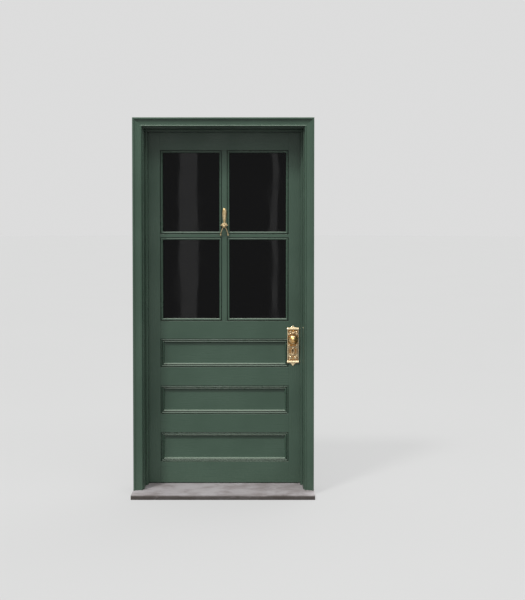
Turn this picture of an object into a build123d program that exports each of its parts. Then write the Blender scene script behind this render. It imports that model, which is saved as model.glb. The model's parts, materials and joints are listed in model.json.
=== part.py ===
from build123d import *
import math
import os

# A panelled and glazed front door hung in its frame, on a stone sill.
# Millimetres. +X is to the right seen from outside, +Y into the house, +Z up.
# The leaf's outside face is Y = 0 and the underside of the sill is Z = 0.

# Leaf
leaf_width = 864.0
leaf_height = 1967.0
leaf_thick = 44.5
stile_width = 75.0
edge_gap = 3.0  # between the leaf and the frame, at both sides and the top
threshold_gap = 3.5

# Heights of the rails and openings, from the bottom of the leaf up
bottom_rail_height = 118.5
lower_panel_height = 164.0
cross_rail_height = 104.5
middle_panel_height = 158.5
upper_panel_height = 158.0
lock_rail_height = 100.0
top_rail_height = 109.0  # the lights take what is left of the leaf's height
upright_bar_width = 28.0
cross_bar_height = 18.0

# Joinery
tenon_thick = 12.0
tenon_length = 42.0
tenon_inset = 20.0
bar_tenon_length = 15.0
joint_slack = 0.1
panel_thick = 14.5
groove_depth = 8.0
panel_slack = 1.0
panel_side_slack = 0.15
glass_thick = 6.0
glass_edge_gap = 3.0
mitre_gap = 0.1
bead_width = 14.0
moulding_width = 26.0

# Frame
jamb_thick = 32.0
jamb_reach = 122.0  # how far the jambs stand out in front of the leaf's face
housing_depth = 10.0
stop_thick = 12.7
stop_depth = 38.0
stop_gap = 1.0
casing_width = 50.8
casing_thick = 32.0
casing_reveal = 6.35
sill_thick = 22.0
sill_reach = 256.0
sill_half_width = 494.0
sill_edge_radius = 5.0
fixing_radius = 4.0
fixing_heights = (250.0, 750.0, 1250.0, 1750.0)
fixing_depth = -80.0

# Hinges
hinge_height = 101.6
hinge_plate_thick = 2.5
hinge_plate_start = 11.0
knuckle_radius = 6.0
knuckle_gap = 0.3
knuckle_relief = 0.6
pin_radius = 3.0
running_clearance = 0.05
pin_setback = 6.5
hinge_from_top = 178.0
hinge_from_bottom = 279.0

# Screws
screw_head_radius = 4.2
screw_shank_radius = 2.0
screw_head_depth = 2.4
screw_length = 25.0
screw_slot_width = 0.9
screw_slot_depth = 0.8
screw_seat_clearance = 0.08

# Lock, latch and knobs
backset = 50.0
knob_height = 807.5  # above the bottom of the leaf
case_thick = 15.0
case_wall = 2.0
case_back = 66.0  # from the lock edge of the leaf
case_top = 34.0  # above the knob's axis
case_bottom = -84.0
forend_thick = 3.0
forend_width = 22.0
forend_top = 50.0
forend_bottom = -100.0
bolt_thick = 9.0
bolt_slack = 0.3
latch_low = 9.8
latch_high = 26.0
bolt_low = -50.0
bolt_high = -30.0
bolt_rest_inset = 0.5
bolt_length = 48.0
latch_bevel = 8.5
hub_radius = 9.0
journal_radius = 7.0
arm_radius = 15.0
arm_width = 5.0
arm_angle = 25.0
spindle_side = 8.0
spindle_slack = 0.1
keyhole_radius = 4.5
keyhole_centre = -62.3
keyhole_bottom = -74.8
keyhole_slot_width = 5.0
knob_radius = 26.5
knob_reach = 58.0
neck_radius = 9.0
spindle_reach = 30.0
strike_thick = 2.0
strike_top = 45.0
strike_bottom = -68.0
pocket_depth = 20.0
pocket_slack = 2.0

# Escutcheons, from the knob's axis
plate_half_width = 31.0
plate_top = 50.0
plate_bottom = -121.0
plate_thick = 3.0
border_width = 3.4
border_height = 2.0
ledge_half_width = 33.5
ledge_height = 14.0
ledge_reach = 8.0
rose_radius = 18.4
scroll_width = 1.8
scroll_height = 1.2
escutcheon_screw_z = (41.0, -107.0)

# Knocker
knocker_hinge_height = 1442.5  # above the bottom of the leaf
knocker_axis_reach = 10.0
knocker_pin_radius = 2.0
knocker_barrel_radius = 4.5
knocker_leaf_bottom = 10.0
knocker_leaf_top = 94.0
knocker_leaf_half_width = 12.3
knocker_ball_radius = 10.5
knocker_ball_reach = 22.0
knocker_foot_radius = 5.0
knocker_foot_spread = 20.5
knocker_foot_drop = 54.0
knocker_foot_gap = 0.5
knocker_arm_radius = 2.4
knocker_sink = 6.0  # how far behind the face the plate's turning axis lies
knocker_pin_end = 17.5
ear_inner = 9.5
ear_outer = 13.0
ear_radius = 5.0

# Derived positions
half_leaf = leaf_width / 2
stile_edge = half_leaf - stile_width
leaf_mid = leaf_thick / 2
jamb_face = half_leaf + edge_gap
jamb_back = jamb_face + jamb_thick
leaf_bottom = sill_thick + threshold_gap
leaf_top = leaf_bottom + leaf_height
head_face = leaf_top + edge_gap
head_back = head_face + jamb_thick
casing_inner = jamb_face + casing_reveal
casing_head = head_face + casing_reveal
lower_panel_z = leaf_bottom + bottom_rail_height
lower_cross_z = lower_panel_z + lower_panel_height
middle_panel_z = lower_cross_z + cross_rail_height
upper_cross_z = middle_panel_z + middle_panel_height
upper_panel_z = upper_cross_z + cross_rail_height
lock_rail_z = upper_panel_z + upper_panel_height
light_z = lock_rail_z + lock_rail_height
top_rail_z = leaf_top - top_rail_height
light_mid_z = (light_z + top_rail_z) / 2
panel_openings = (
    (lower_panel_z, lower_cross_z),
    (middle_panel_z, upper_cross_z),
    (upper_panel_z, lock_rail_z),
)
lights_x = ((-stile_edge, -upright_bar_width / 2), (upright_bar_width / 2, stile_edge))
lower_light = (light_z, light_mid_z - cross_bar_height / 2)
upper_light = (light_mid_z + cross_bar_height / 2, top_rail_z)
panel_recess = (leaf_thick - panel_thick) / 2
glass_recess = (leaf_thick - glass_thick) / 2
pin_x = -(half_leaf + edge_gap / 2)
pin_y = leaf_thick + pin_setback
hinge_lows = (
    leaf_bottom + hinge_from_bottom,
    (leaf_bottom + leaf_top - hinge_from_top + hinge_from_bottom - hinge_height) / 2,
    leaf_top - hinge_from_top - hinge_height,
)
knob_x = half_leaf - backset
knob_z = leaf_bottom + knob_height
knocker_z = leaf_bottom + knocker_hinge_height
tenon_front = leaf_mid - tenon_thick / 2
tenon_back = leaf_mid + tenon_thick / 2


def slab(x, y, z, mode=Mode.ADD):
    """Adds or cuts a straight block given by its X, Y and Z spans."""
    with BuildSketch(Plane.XY.offset(z[0])) as outline:
        with Locations(((x[0] + x[1]) / 2, (y[0] + y[1]) / 2)):
            Rectangle(x[1] - x[0], y[1] - y[0])
    extrude(outline.sketch, amount=z[1] - z[0], mode=mode)


def rod(start, direction, radius, length, mode=Mode.ADD):
    """Adds or cuts a round bar from a start point along a direction."""
    with BuildSketch(Plane(origin=start, z_dir=direction)) as outline:
        Circle(radius)
    extrude(outline.sketch, amount=length, mode=mode)


def section_length(section, start, x_dir, along, length):
    """Adds a straight length of a moulding whose section starts at a point."""
    with BuildSketch(Plane(origin=start, x_dir=x_dir, z_dir=along)) as outline:
        add(section.sketch)
    extrude(outline.sketch, amount=length)


def mitre(corner, outward, inward):
    """Cuts the end of a length at 45 degrees through a corner of its frame."""
    normal = Vector(outward) + Vector(inward)
    seat = Vector(corner) - normal.normalized() * (mitre_gap / 2)
    split(bisect_by=Plane(origin=seat, z_dir=normal), keep=Keep.BOTTOM)


def mitred_frame(section, x, z, face_y, depth):
    """Returns four mitred lengths of a moulding, lining an opening of the leaf."""
    lengths = []
    centre = Vector((x[0] + x[1]) / 2, face_y, (z[0] + z[1]) / 2)
    wide = (x[1] - x[0]) / 2
    high = (z[1] - z[0]) / 2
    for inward, reach, half in (
        (Vector(0, 0, 1), high, wide),
        (Vector(0, 0, -1), high, wide),
        (Vector(1, 0, 0), wide, high),
        (Vector(-1, 0, 0), wide, high),
    ):
        along = inward.cross(Vector(0, depth, 0))
        edge = centre - inward * reach
        with BuildPart() as one_length:
            section_length(section, edge - along * half, inward, along, half * 2)
            mitre(edge + along * half, along, inward)
            mitre(edge - along * half, -along, inward)
        lengths.append(one_length.part)
    return lengths


def rail_with_tenons(z_low, z_high, tenon_low, tenon_high, grooves):
    """Adds a rail of the leaf between the stiles, with a tenon at each end."""
    slab((-stile_edge, stile_edge), (0, leaf_thick), (z_low, z_high))
    reach = stile_edge + tenon_length
    slab((-reach, reach), (tenon_front, tenon_back), (tenon_low, tenon_high))
    for groove_z in grooves:
        slab((-stile_edge, stile_edge), groove_y, groove_z, mode=Mode.SUBTRACT)


def stile(side):
    """Adds a stile of the leaf with its mortises and panel grooves."""
    inner = side * stile_edge
    slab(sorted((inner, side * half_leaf)), (0, leaf_thick), (leaf_bottom, leaf_top))
    for z_low, z_high in panel_openings:
        cut = (z_low - groove_depth, z_high + groove_depth)
        slab(sorted((inner, inner + side * groove_depth)), groove_y, cut, mode=Mode.SUBTRACT)
    mortise_y = (tenon_front - joint_slack, tenon_back + joint_slack)
    mortise_x = sorted((inner, inner + side * (tenon_length + 1.0)))
    for z_low, z_high in tenons:
        cut = (z_low - joint_slack, z_high + joint_slack)
        slab(mortise_x, mortise_y, cut, mode=Mode.SUBTRACT)
    bar_x = sorted((inner, inner + side * (bar_tenon_length + 1.0)))
    bar_half = cross_bar_height / 2 + joint_slack
    bar_z = (light_mid_z - bar_half, light_mid_z + bar_half)
    slab(bar_x, mortise_y, bar_z, mode=Mode.SUBTRACT)


def hinge_leaf(z_low, side, own, other):
    """Adds one plate of a butt hinge with its share of the knuckles."""
    pitch = hinge_height / 5
    inner = pin_x + side * edge_gap / 2
    plate_x = sorted((inner, inner + side * hinge_plate_thick))
    plate_z = (z_low, z_low + hinge_height)
    slab(plate_x, (hinge_plate_start, pin_y), plate_z)
    relief = knuckle_radius + knuckle_relief
    for index in other:
        start = (pin_x, pin_y, z_low + index * pitch)
        rod(start, (0, 0, 1), relief, pitch, mode=Mode.SUBTRACT)
    for index in own:
        start = (pin_x, pin_y, z_low + index * pitch + knuckle_gap / 2)
        rod(start, (0, 0, 1), knuckle_radius, pitch - knuckle_gap)
    bore = pin_radius + running_clearance
    rod((pin_x, pin_y, z_low - 1), (0, 0, 1), bore, hinge_height + 2, mode=Mode.SUBTRACT)
    for y, z in hinge_screw_spots(z_low):
        screw_seat((inner, y, z), (side, 0, 0))


def hinge_screw_spots(z_low):
    """Returns the Y and Z of the three screws in a hinge plate."""
    middle = z_low + hinge_height / 2
    return ((20.0, middle - 38.0), (34.0, middle), (20.0, middle + 38.0))


def screw_seat(face, direction):
    """Cuts a countersunk hole from a point on a face along a direction."""
    plane = Plane(origin=face, z_dir=direction)
    grow = screw_seat_clearance
    with BuildSketch(plane) as mouth:
        Circle(screw_head_radius + grow)
    with BuildSketch(plane.offset(screw_head_depth)) as throat:
        Circle(screw_shank_radius + grow)
    loft([mouth.sketch.face(), throat.sketch.face()], mode=Mode.SUBTRACT)
    extrude(throat.sketch, amount=4.0, mode=Mode.SUBTRACT)


def screws(spots):
    """Returns countersunk wood screws at (head point, direction, slot direction)."""
    made = []
    for head, direction, across in spots:
        plane = Plane(origin=head, x_dir=across, z_dir=direction)
        tip = plane.offset(screw_length)
        with BuildPart() as screw:
            with BuildSketch(plane) as top:
                Circle(screw_head_radius)
            with BuildSketch(plane.offset(screw_head_depth)) as neck:
                Circle(screw_shank_radius)
            loft([top.sketch.face(), neck.sketch.face()])
            extrude(neck.sketch, amount=screw_length - screw_head_depth - 3.0)
            with BuildSketch(plane.offset(screw_length - 3.0)) as shoulder:
                Circle(screw_shank_radius)
            with BuildSketch(tip) as point:
                Circle(0.4)
            loft([shoulder.sketch.face(), point.sketch.face()])
            with BuildSketch(plane) as slot:
                Rectangle(screw_head_radius * 2.4, screw_slot_width)
            extrude(slot.sketch, amount=screw_slot_depth, mode=Mode.SUBTRACT)
        made.append(screw.part)
    return made


groove_y = (
    panel_recess - panel_side_slack,
    leaf_thick - panel_recess + panel_side_slack,
)
tenons = (
    (leaf_bottom + tenon_inset, lower_panel_z - tenon_inset),
    (lower_cross_z + tenon_inset, middle_panel_z - tenon_inset),
    (upper_cross_z + tenon_inset, upper_panel_z - tenon_inset),
    (lock_rail_z + 44.0, light_z - tenon_inset),
    (top_rail_z + tenon_inset, leaf_top - tenon_inset),
)

# Sections: X runs from the frame edge inwards, Y from the face into the work.

# Glazing bead: a sunk quirk at the frame, a fillet, an ovolo and a small flat
with BuildSketch() as bead_section:
    with BuildLine():
        ovolo_end = (bead_width - 1.4, 9.4)
        Polyline(ovolo_end, (bead_width, 9.8), (bead_width, glass_recess), (0, glass_recess))
        Polyline((0, glass_recess), (0, 3.6), (2.0, 3.6), (2.0, 0.6), (4.2, 0.6))
        Line((4.2, 0.6), (4.2, 1.8))
        ThreePointArc((4.2, 1.8), (bead_width - 4.0, 4.4), ovolo_end)
    make_face()

# Panel moulding: quirk, fillet, ogee falling to the panel, fillet and small cove
with BuildSketch() as moulding_section:
    with BuildLine():
        cove_end = (moulding_width, 13.6)
        Polyline(cove_end, (moulding_width, panel_recess), (0, panel_recess), (0, 4.0))
        Polyline((0, 4.0), (2.2, 4.0), (2.2, 0.6), (6.4, 0.6), (6.4, 2.6))
        ThreePointArc((6.4, 2.6), (11.8, 3.6), (14.4, 7.0))
        ThreePointArc((14.4, 7.0), (16.4, 9.7), (19.4, 10.6))
        cove_start = (moulding_width - 3.4, 12.0)
        Polyline((19.4, 10.6), (moulding_width - 3.4, 10.6), cove_start)
        ThreePointArc(cove_start, (moulding_width - 2.2, 13.2), cove_end)
    make_face()

# Casing: X from the inner edge outwards, Y from its back towards the street
with BuildSketch() as casing_section:
    with BuildLine():
        Polyline((0, 0), (0, 17.0))
        ThreePointArc((0, 17.0), (1.6, 21.6), (5.2, 24.2))
        ThreePointArc((5.2, 24.2), (8.0, 23.6), (9.6, 21.4))
        Line((9.6, 21.4), (11.4, 21.4))
        ThreePointArc((11.4, 21.4), (27.0, 23.4), (41.2, 28.2))
        Polyline((41.2, 28.2), (41.2, casing_thick), (casing_width - 1.5, casing_thick))
        Line((casing_width - 1.5, casing_thick), (casing_width, casing_thick - 1.5))
        Polyline((casing_width, casing_thick - 1.5), (casing_width, 0), (0, 0))
    make_face()

# The stone sill under the whole frame, its street edge worn round
with BuildPart() as stone_sill:
    slab((-sill_half_width, sill_half_width), (-sill_reach, leaf_thick), (0, sill_thick))
    fillet(stone_sill.edges().filter_by(Axis.X).group_by(Axis.Y)[0], sill_edge_radius)

# Jambs, housed for the head and bored for the fixings into the wall
with BuildPart() as hinge_jamb:
    slab((-jamb_back, -jamb_face), (-jamb_reach, leaf_thick), (sill_thick, head_back))
    housing_z = (head_face - joint_slack, head_back)
    housing_x = (-jamb_face - housing_depth, -jamb_face)
    slab(housing_x, (-jamb_reach, leaf_thick), housing_z, mode=Mode.SUBTRACT)
    for low in hinge_lows:
        recess_x = (-jamb_face - hinge_plate_thick, -jamb_face)
        recess_z = (low, low + hinge_height)
        slab(recess_x, (hinge_plate_start, leaf_thick), recess_z, mode=Mode.SUBTRACT)
    for height in fixing_heights:
        start = (-jamb_face + 1, fixing_depth, sill_thick + height)
        rod(start, (-1, 0, 0), fixing_radius, jamb_thick + 2, mode=Mode.SUBTRACT)

with BuildPart() as lock_jamb:
    slab((jamb_face, jamb_back), (-jamb_reach, leaf_thick), (sill_thick, head_back))
    housing_x = (jamb_face, jamb_face + housing_depth)
    slab(housing_x, (-jamb_reach, leaf_thick), housing_z, mode=Mode.SUBTRACT)
    plate_y = (leaf_mid - forend_width / 2, leaf_mid + forend_width / 2)
    plate_z = (knob_z + strike_bottom, knob_z + strike_top)
    slab((jamb_face, jamb_face + strike_thick), plate_y, plate_z, mode=Mode.SUBTRACT)
    pocket_x = (jamb_face, jamb_face + pocket_depth)
    pocket_half = bolt_thick / 2 + pocket_slack
    pocket_y = (leaf_mid - pocket_half, leaf_mid + pocket_half)
    pockets = (
        (knob_z + latch_low - pocket_slack, knob_z + latch_high + pocket_slack),
        (knob_z + bolt_low - pocket_slack, knob_z + bolt_high + pocket_slack),
    )
    for pocket_z in pockets:
        slab(pocket_x, pocket_y, pocket_z, mode=Mode.SUBTRACT)
    for height in fixing_heights:
        start = (jamb_face - 1, fixing_depth, sill_thick + height)
        rod(start, (1, 0, 0), fixing_radius, jamb_thick + 2, mode=Mode.SUBTRACT)

with BuildPart() as head_jamb:
    head_half = jamb_face + housing_depth
    slab((-head_half, head_half), (-jamb_reach, leaf_thick), (head_face, head_back))

# Stops planted on the jambs and head, their street arris eased
stop_y = (-stop_gap - stop_depth, -stop_gap)
stop_top = head_face - stop_thick
with BuildPart() as hinge_stop:
    slab((-jamb_face, -jamb_face + stop_thick), stop_y, (sill_thick, stop_top))
    chamfer(hinge_stop.edges().filter_by(Axis.Z).sort_by(Axis.Y)[:2].sort_by(Axis.X)[-1], 1.5)

with BuildPart() as lock_stop:
    slab((jamb_face - stop_thick, jamb_face), stop_y, (sill_thick, stop_top))
    chamfer(lock_stop.edges().filter_by(Axis.Z).sort_by(Axis.Y)[:2].sort_by(Axis.X)[0], 1.5)

with BuildPart() as head_stop:
    slab((-jamb_face, jamb_face), stop_y, (stop_top, head_face))
    chamfer(head_stop.edges().filter_by(Axis.X).sort_by(Axis.Y)[:2].sort_by(Axis.Z)[0], 1.5)

# Casing: two legs standing on the sill and a head, mitred at the corners
casing_y = -jamb_reach
leg_length = casing_head + casing_width - sill_thick
with BuildPart() as hinge_casing:
    start = (-casing_inner, casing_y, sill_thick)
    section_length(casing_section, start, (-1, 0, 0), (0, 0, 1), leg_length)
    mitre((-casing_inner, casing_y, casing_head), (1, 0, 0), (0, 0, 1))

with BuildPart() as lock_casing:
    start = (casing_inner, casing_y, sill_thick + leg_length)
    section_length(casing_section, start, (1, 0, 0), (0, 0, -1), leg_length)
    mitre((casing_inner, casing_y, casing_head), (-1, 0, 0), (0, 0, 1))

with BuildPart() as head_casing:
    half = casing_inner + casing_width
    start = (-half, casing_y, casing_head)
    section_length(casing_section, start, (0, 0, 1), (1, 0, 0), half * 2)
    mitre((casing_inner, casing_y, casing_head), (1, 0, 0), (0, 0, -1))
    mitre((-casing_inner, casing_y, casing_head), (-1, 0, 0), (0, 0, -1))

# Stiles
with BuildPart() as hinge_stile:
    stile(-1)
    for low in hinge_lows:
        recess_x = (-half_leaf, -half_leaf + hinge_plate_thick)
        recess_z = (low, low + hinge_height)
        slab(recess_x, (hinge_plate_start, leaf_thick), recess_z, mode=Mode.SUBTRACT)

case_y = (leaf_mid - case_thick / 2, leaf_mid + case_thick / 2)
case_x = (half_leaf - case_back, half_leaf - forend_thick)
case_z = (knob_z + case_bottom, knob_z + case_top)
forend_x = (half_leaf - forend_thick, half_leaf)
forend_y = (leaf_mid - forend_width / 2, leaf_mid + forend_width / 2)
forend_z = (knob_z + forend_bottom, knob_z + forend_top)
key_slot_x = (knob_x - keyhole_slot_width / 2, knob_x + keyhole_slot_width / 2)
key_slot_z = (knob_z + keyhole_bottom, knob_z + keyhole_centre)


def keyhole(y, grow):
    """Cuts a keyhole along Y between two depths, grown all round."""
    start = (knob_x, y[0], knob_z + keyhole_centre)
    rod(start, (0, 1, 0), keyhole_radius + grow, y[1] - y[0], mode=Mode.SUBTRACT)
    slot_x = (key_slot_x[0] - grow, key_slot_x[1] + grow)
    slot_z = (key_slot_z[0] - grow, key_slot_z[1])
    slab(slot_x, y, slot_z, mode=Mode.SUBTRACT)


with BuildPart() as lock_stile:
    stile(1)
    slab(case_x, case_y, case_z, mode=Mode.SUBTRACT)
    slab(forend_x, forend_y, forend_z, mode=Mode.SUBTRACT)
    start = (knob_x, -1, knob_z)
    rod(start, (0, 1, 0), neck_radius + 1.5, leaf_thick + 2, mode=Mode.SUBTRACT)
    keyhole((-1, leaf_thick + 1), 1.0)

# Rails, with a tenon at each end and a groove for each panel they hold
with BuildPart() as bottom_rail:
    grooves = [(lower_panel_z - groove_depth, lower_panel_z)]
    rail_with_tenons(leaf_bottom, lower_panel_z, *tenons[0], grooves)

with BuildPart() as lower_cross_rail:
    grooves = [(lower_cross_z, lower_cross_z + groove_depth)]
    grooves.append((middle_panel_z - groove_depth, middle_panel_z))
    rail_with_tenons(lower_cross_z, middle_panel_z, *tenons[1], grooves)

with BuildPart() as upper_cross_rail:
    grooves = [(upper_cross_z, upper_cross_z + groove_depth)]
    grooves.append((upper_panel_z - groove_depth, upper_panel_z))
    rail_with_tenons(upper_cross_z, upper_panel_z, *tenons[2], grooves)

bar_mortise_x = upright_bar_width / 2 + joint_slack
bar_mortise_y = (tenon_front - joint_slack, tenon_back + joint_slack)
with BuildPart() as lock_rail:
    rail_with_tenons(lock_rail_z, light_z, *tenons[3], [(lock_rail_z, lock_rail_z + groove_depth)])
    mortise_z = (light_z - bar_tenon_length - 1, light_z)
    slab((-bar_mortise_x, bar_mortise_x), bar_mortise_y, mortise_z, mode=Mode.SUBTRACT)

with BuildPart() as top_rail:
    rail_with_tenons(top_rail_z, leaf_top, *tenons[4], [])
    mortise_z = (top_rail_z, top_rail_z + bar_tenon_length + 1)
    slab((-bar_mortise_x, bar_mortise_x), bar_mortise_y, mortise_z, mode=Mode.SUBTRACT)

# Glazing bars: one upright, and a left and a right cross bar tenoned into it
cross_stub = 6.0
bar_z = (light_mid_z - cross_bar_height / 2, light_mid_z + cross_bar_height / 2)
with BuildPart() as upright_bar:
    half = upright_bar_width / 2
    slab((-half, half), (0, leaf_thick), (light_z, top_rail_z))
    tenon_z = (light_z - bar_tenon_length, top_rail_z + bar_tenon_length)
    slab((-half, half), (tenon_front, tenon_back), tenon_z)
    stub_z = (bar_z[0] - joint_slack, bar_z[1] + joint_slack)
    stub_x = (half - cross_stub - joint_slack, half)
    slab(stub_x, bar_mortise_y, stub_z, mode=Mode.SUBTRACT)
    slab((-stub_x[1], -stub_x[0]), bar_mortise_y, stub_z, mode=Mode.SUBTRACT)


def cross_bar(side):
    """Adds a cross bar between the upright bar and a stile."""
    ends = (side * upright_bar_width / 2, side * stile_edge)
    slab(sorted(ends), (0, leaf_thick), bar_z)
    reach = (ends[0] - side * cross_stub, ends[1] + side * bar_tenon_length)
    slab(sorted(reach), (tenon_front, tenon_back), bar_z)


with BuildPart() as left_cross_bar:
    cross_bar(-1)

with BuildPart() as right_cross_bar:
    cross_bar(1)


def panel(z):
    """Adds a flat panel that reaches into the grooves round its opening."""
    reach = groove_depth - panel_slack
    x = (-stile_edge - reach, stile_edge + reach)
    slab(x, (panel_recess, leaf_thick - panel_recess), (z[0] - reach, z[1] + reach))


with BuildPart() as lower_panel:
    panel(panel_openings[0])

with BuildPart() as middle_panel:
    panel(panel_openings[1])

with BuildPart() as upper_panel:
    panel(panel_openings[2])

# Panel mouldings: four mitred lengths round each panel, outside and inside
panel_x = (-stile_edge, stile_edge)
with BuildPart() as lower_moulding:
    add(mitred_frame(moulding_section, panel_x, panel_openings[0], 0, 1))

with BuildPart() as middle_moulding:
    add(mitred_frame(moulding_section, panel_x, panel_openings[1], 0, 1))

with BuildPart() as upper_moulding:
    add(mitred_frame(moulding_section, panel_x, panel_openings[2], 0, 1))

with BuildPart() as inside_mouldings:
    for opening in panel_openings:
        add(mitred_frame(moulding_section, panel_x, opening, leaf_thick, -1))

# Glazing beads: four mitred lengths round each pane, outside and inside
with BuildPart() as upper_left_beads:
    add(mitred_frame(bead_section, lights_x[0], upper_light, 0, 1))

with BuildPart() as upper_right_beads:
    add(mitred_frame(bead_section, lights_x[1], upper_light, 0, 1))

with BuildPart() as lower_left_beads:
    add(mitred_frame(bead_section, lights_x[0], lower_light, 0, 1))

with BuildPart() as lower_right_beads:
    add(mitred_frame(bead_section, lights_x[1], lower_light, 0, 1))

with BuildPart() as inside_beads:
    for light_x in lights_x:
        for light in (lower_light, upper_light):
            add(mitred_frame(bead_section, light_x, light, leaf_thick, -1))


def pane(x, z):
    """Adds a pane of glass held between the beads of its light."""
    gap = glass_edge_gap
    y = (glass_recess, leaf_thick - glass_recess)
    slab((x[0] + gap, x[1] - gap), y, (z[0] + gap, z[1] - gap))


with BuildPart() as upper_left_pane:
    pane(lights_x[0], upper_light)

with BuildPart() as upper_right_pane:
    pane(lights_x[1], upper_light)

with BuildPart() as lower_left_pane:
    pane(lights_x[0], lower_light)

with BuildPart() as lower_right_pane:
    pane(lights_x[1], lower_light)

# Butt hinges: three knuckles on the frame, two on the leaf, and a loose pin
with BuildPart() as frame_hinge_plates:
    for low in hinge_lows:
        with BuildPart(mode=Mode.PRIVATE) as one_plate:
            hinge_leaf(low, -1, (0, 2, 4), (1, 3))
        add(one_plate.part)

with BuildPart() as leaf_hinge_plates:
    for low in hinge_lows:
        with BuildPart(mode=Mode.PRIVATE) as one_plate:
            hinge_leaf(low, 1, (1, 3), (0, 2, 4))
        add(one_plate.part)

with BuildPart() as hinge_pins:
    for low in hinge_lows:
        top = low + hinge_height
        rod((pin_x, pin_y, low - 1.0), (0, 0, 1), pin_radius, top - low + 1.0)
        rod((pin_x, pin_y, top), (0, 0, 1), knuckle_radius - 0.6, 2.6)

frame_side = []
leaf_side = []
for low in hinge_lows:
    for y, z in hinge_screw_spots(low):
        frame_side.append(((-jamb_face, y, z), (-1, 0, 0), (0, 0.6, 0.8)))
        leaf_side.append(((-half_leaf, y, z), (1, 0, 0), (0, -0.8, 0.6)))

with BuildPart() as frame_hinge_screws:
    add(screws(frame_side))

with BuildPart() as leaf_hinge_screws:
    add(screws(leaf_side))

# Strike plate let into the lock jamb, with a pocket for the latch and the bolt
strike_screw_z = (knob_z + strike_bottom + 7.5, knob_z + strike_top - 7.5)
with BuildPart() as strike_plate:
    slab((jamb_face, jamb_face + strike_thick), plate_y, plate_z)
    for pocket_z in pockets:
        slab(pocket_x, pocket_y, pocket_z, mode=Mode.SUBTRACT)
    for z in strike_screw_z:
        screw_seat((jamb_face, leaf_mid, z), (1, 0, 0))

with BuildPart() as strike_screws:
    add(screws([((jamb_face, leaf_mid, z), (1, 0, 0), (0, 0.8, 0.6)) for z in strike_screw_z]))

# Lock case, hollow, with its forend flush in the edge of the leaf
cavity_x = (case_x[0] + case_wall, case_x[1] - case_wall)
cavity_y = (case_y[0] + case_wall, case_y[1] - case_wall)
cavity_z = (case_z[0] + case_wall, case_z[1] - case_wall)
forend_screw_z = (forend_z[0] + 7.0, forend_z[1] - 7.0)
slot_half = bolt_thick / 2 + bolt_slack
slot_y = (leaf_mid - slot_half, leaf_mid + slot_half)
with BuildPart() as lock_case:
    slab(case_x, case_y, case_z)
    slab(forend_x, forend_y, forend_z)
    slab(cavity_x, cavity_y, cavity_z, mode=Mode.SUBTRACT)
    for z_low, z_high in ((latch_low, latch_high), (bolt_low, bolt_high)):
        slot_z = (knob_z + z_low - bolt_slack, knob_z + z_high + bolt_slack)
        slab((cavity_x[1] - 1, half_leaf + 1), slot_y, slot_z, mode=Mode.SUBTRACT)
    bore = journal_radius + running_clearance
    rod((knob_x, case_y[0] - 1, knob_z), (0, 1, 0), bore, case_thick + 2, mode=Mode.SUBTRACT)
    keyhole((case_y[0] - 1, case_y[1] + 1), 0.5)
    for z in forend_screw_z:
        screw_seat((half_leaf, leaf_mid, z), (-1, 0, 0))

with BuildPart() as lock_screws:
    add(screws([((half_leaf, leaf_mid, z), (-1, 0, 0), (0, 0.8, 0.6)) for z in forend_screw_z]))

# Latch hub: journals in the case, a square hole and an arm that drives the latch
arm_y = leaf_mid + arm_width / 2
arm_x = knob_x - arm_radius * math.sin(math.radians(arm_angle))
arm_z = knob_z + arm_radius * math.cos(math.radians(arm_angle))
with BuildPart() as latch_hub:
    rod((knob_x, case_y[0], knob_z), (0, 1, 0), journal_radius, case_thick)
    hub_start = cavity_y[0] + bolt_slack
    hub_length = cavity_y[1] - cavity_y[0] - 2 * bolt_slack
    rod((knob_x, hub_start, knob_z), (0, 1, 0), hub_radius, hub_length)
    with BuildSketch(Plane.XZ.offset(-arm_y)) as arm:
        with Locations(((knob_x + arm_x) / 2, (knob_z + arm_z) / 2)):
            SlotCenterToCenter(arm_radius, arm_width, rotation=90 + arm_angle)
    extrude(amount=arm_width)
    with BuildSketch(Plane.XZ.offset(-case_y[1] - 1)) as square:
        with Locations((knob_x, knob_z)):
            Rectangle(spindle_side + 2 * spindle_slack, spindle_side + 2 * spindle_slack)
    extrude(amount=case_thick + 2, mode=Mode.SUBTRACT)

# Latch bolt, drawn back, bevelled on the closing side, with a slot over the arm
bolt_y = (leaf_mid - bolt_thick / 2, leaf_mid + bolt_thick / 2)
nose = half_leaf - bolt_rest_inset
latch_tail = arm_x - 7.2
latch_slot = [
    (arm_x - 5.1, knob_z + latch_low),
    (arm_x - 3.0, knob_z + 14.4),
    (arm_x - 3.0, knob_z + arm_radius + 3.4),
    (arm_x + 3.0, knob_z + arm_radius + 3.4),
    (arm_x + 3.0, knob_z + 14.4),
    (arm_x + 5.1, knob_z + latch_low),
]
latch_outline = [
    (latch_tail, bolt_y[0]),
    (nose - latch_bevel, bolt_y[0]),
    (nose, bolt_y[1] - 2.0),
    (nose, bolt_y[1]),
    (latch_tail, bolt_y[1]),
]
with BuildPart() as latch_bolt:
    with BuildSketch(Plane.XY.offset(knob_z + latch_low)):
        Polygon(latch_outline, align=None)
    extrude(amount=latch_high - latch_low)
    with BuildSketch(Plane.XZ.offset(-bolt_y[1])):
        Polygon(latch_slot, align=None)
    extrude(amount=bolt_thick, mode=Mode.SUBTRACT)

# Dead bolt, drawn back, with a talon that the key throws
talon_x = (nose - 40.0, nose - 32.0)
with BuildPart() as dead_bolt:
    slab((nose - bolt_length, nose), bolt_y, (knob_z + bolt_low, knob_z + bolt_high))
    slab(talon_x, bolt_y, (knob_z + bolt_low, knob_z + bolt_low + 5.0), mode=Mode.SUBTRACT)
    chamfer(dead_bolt.edges().filter_by(Axis.Z).group_by(Axis.X)[-1], 0.8)

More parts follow.
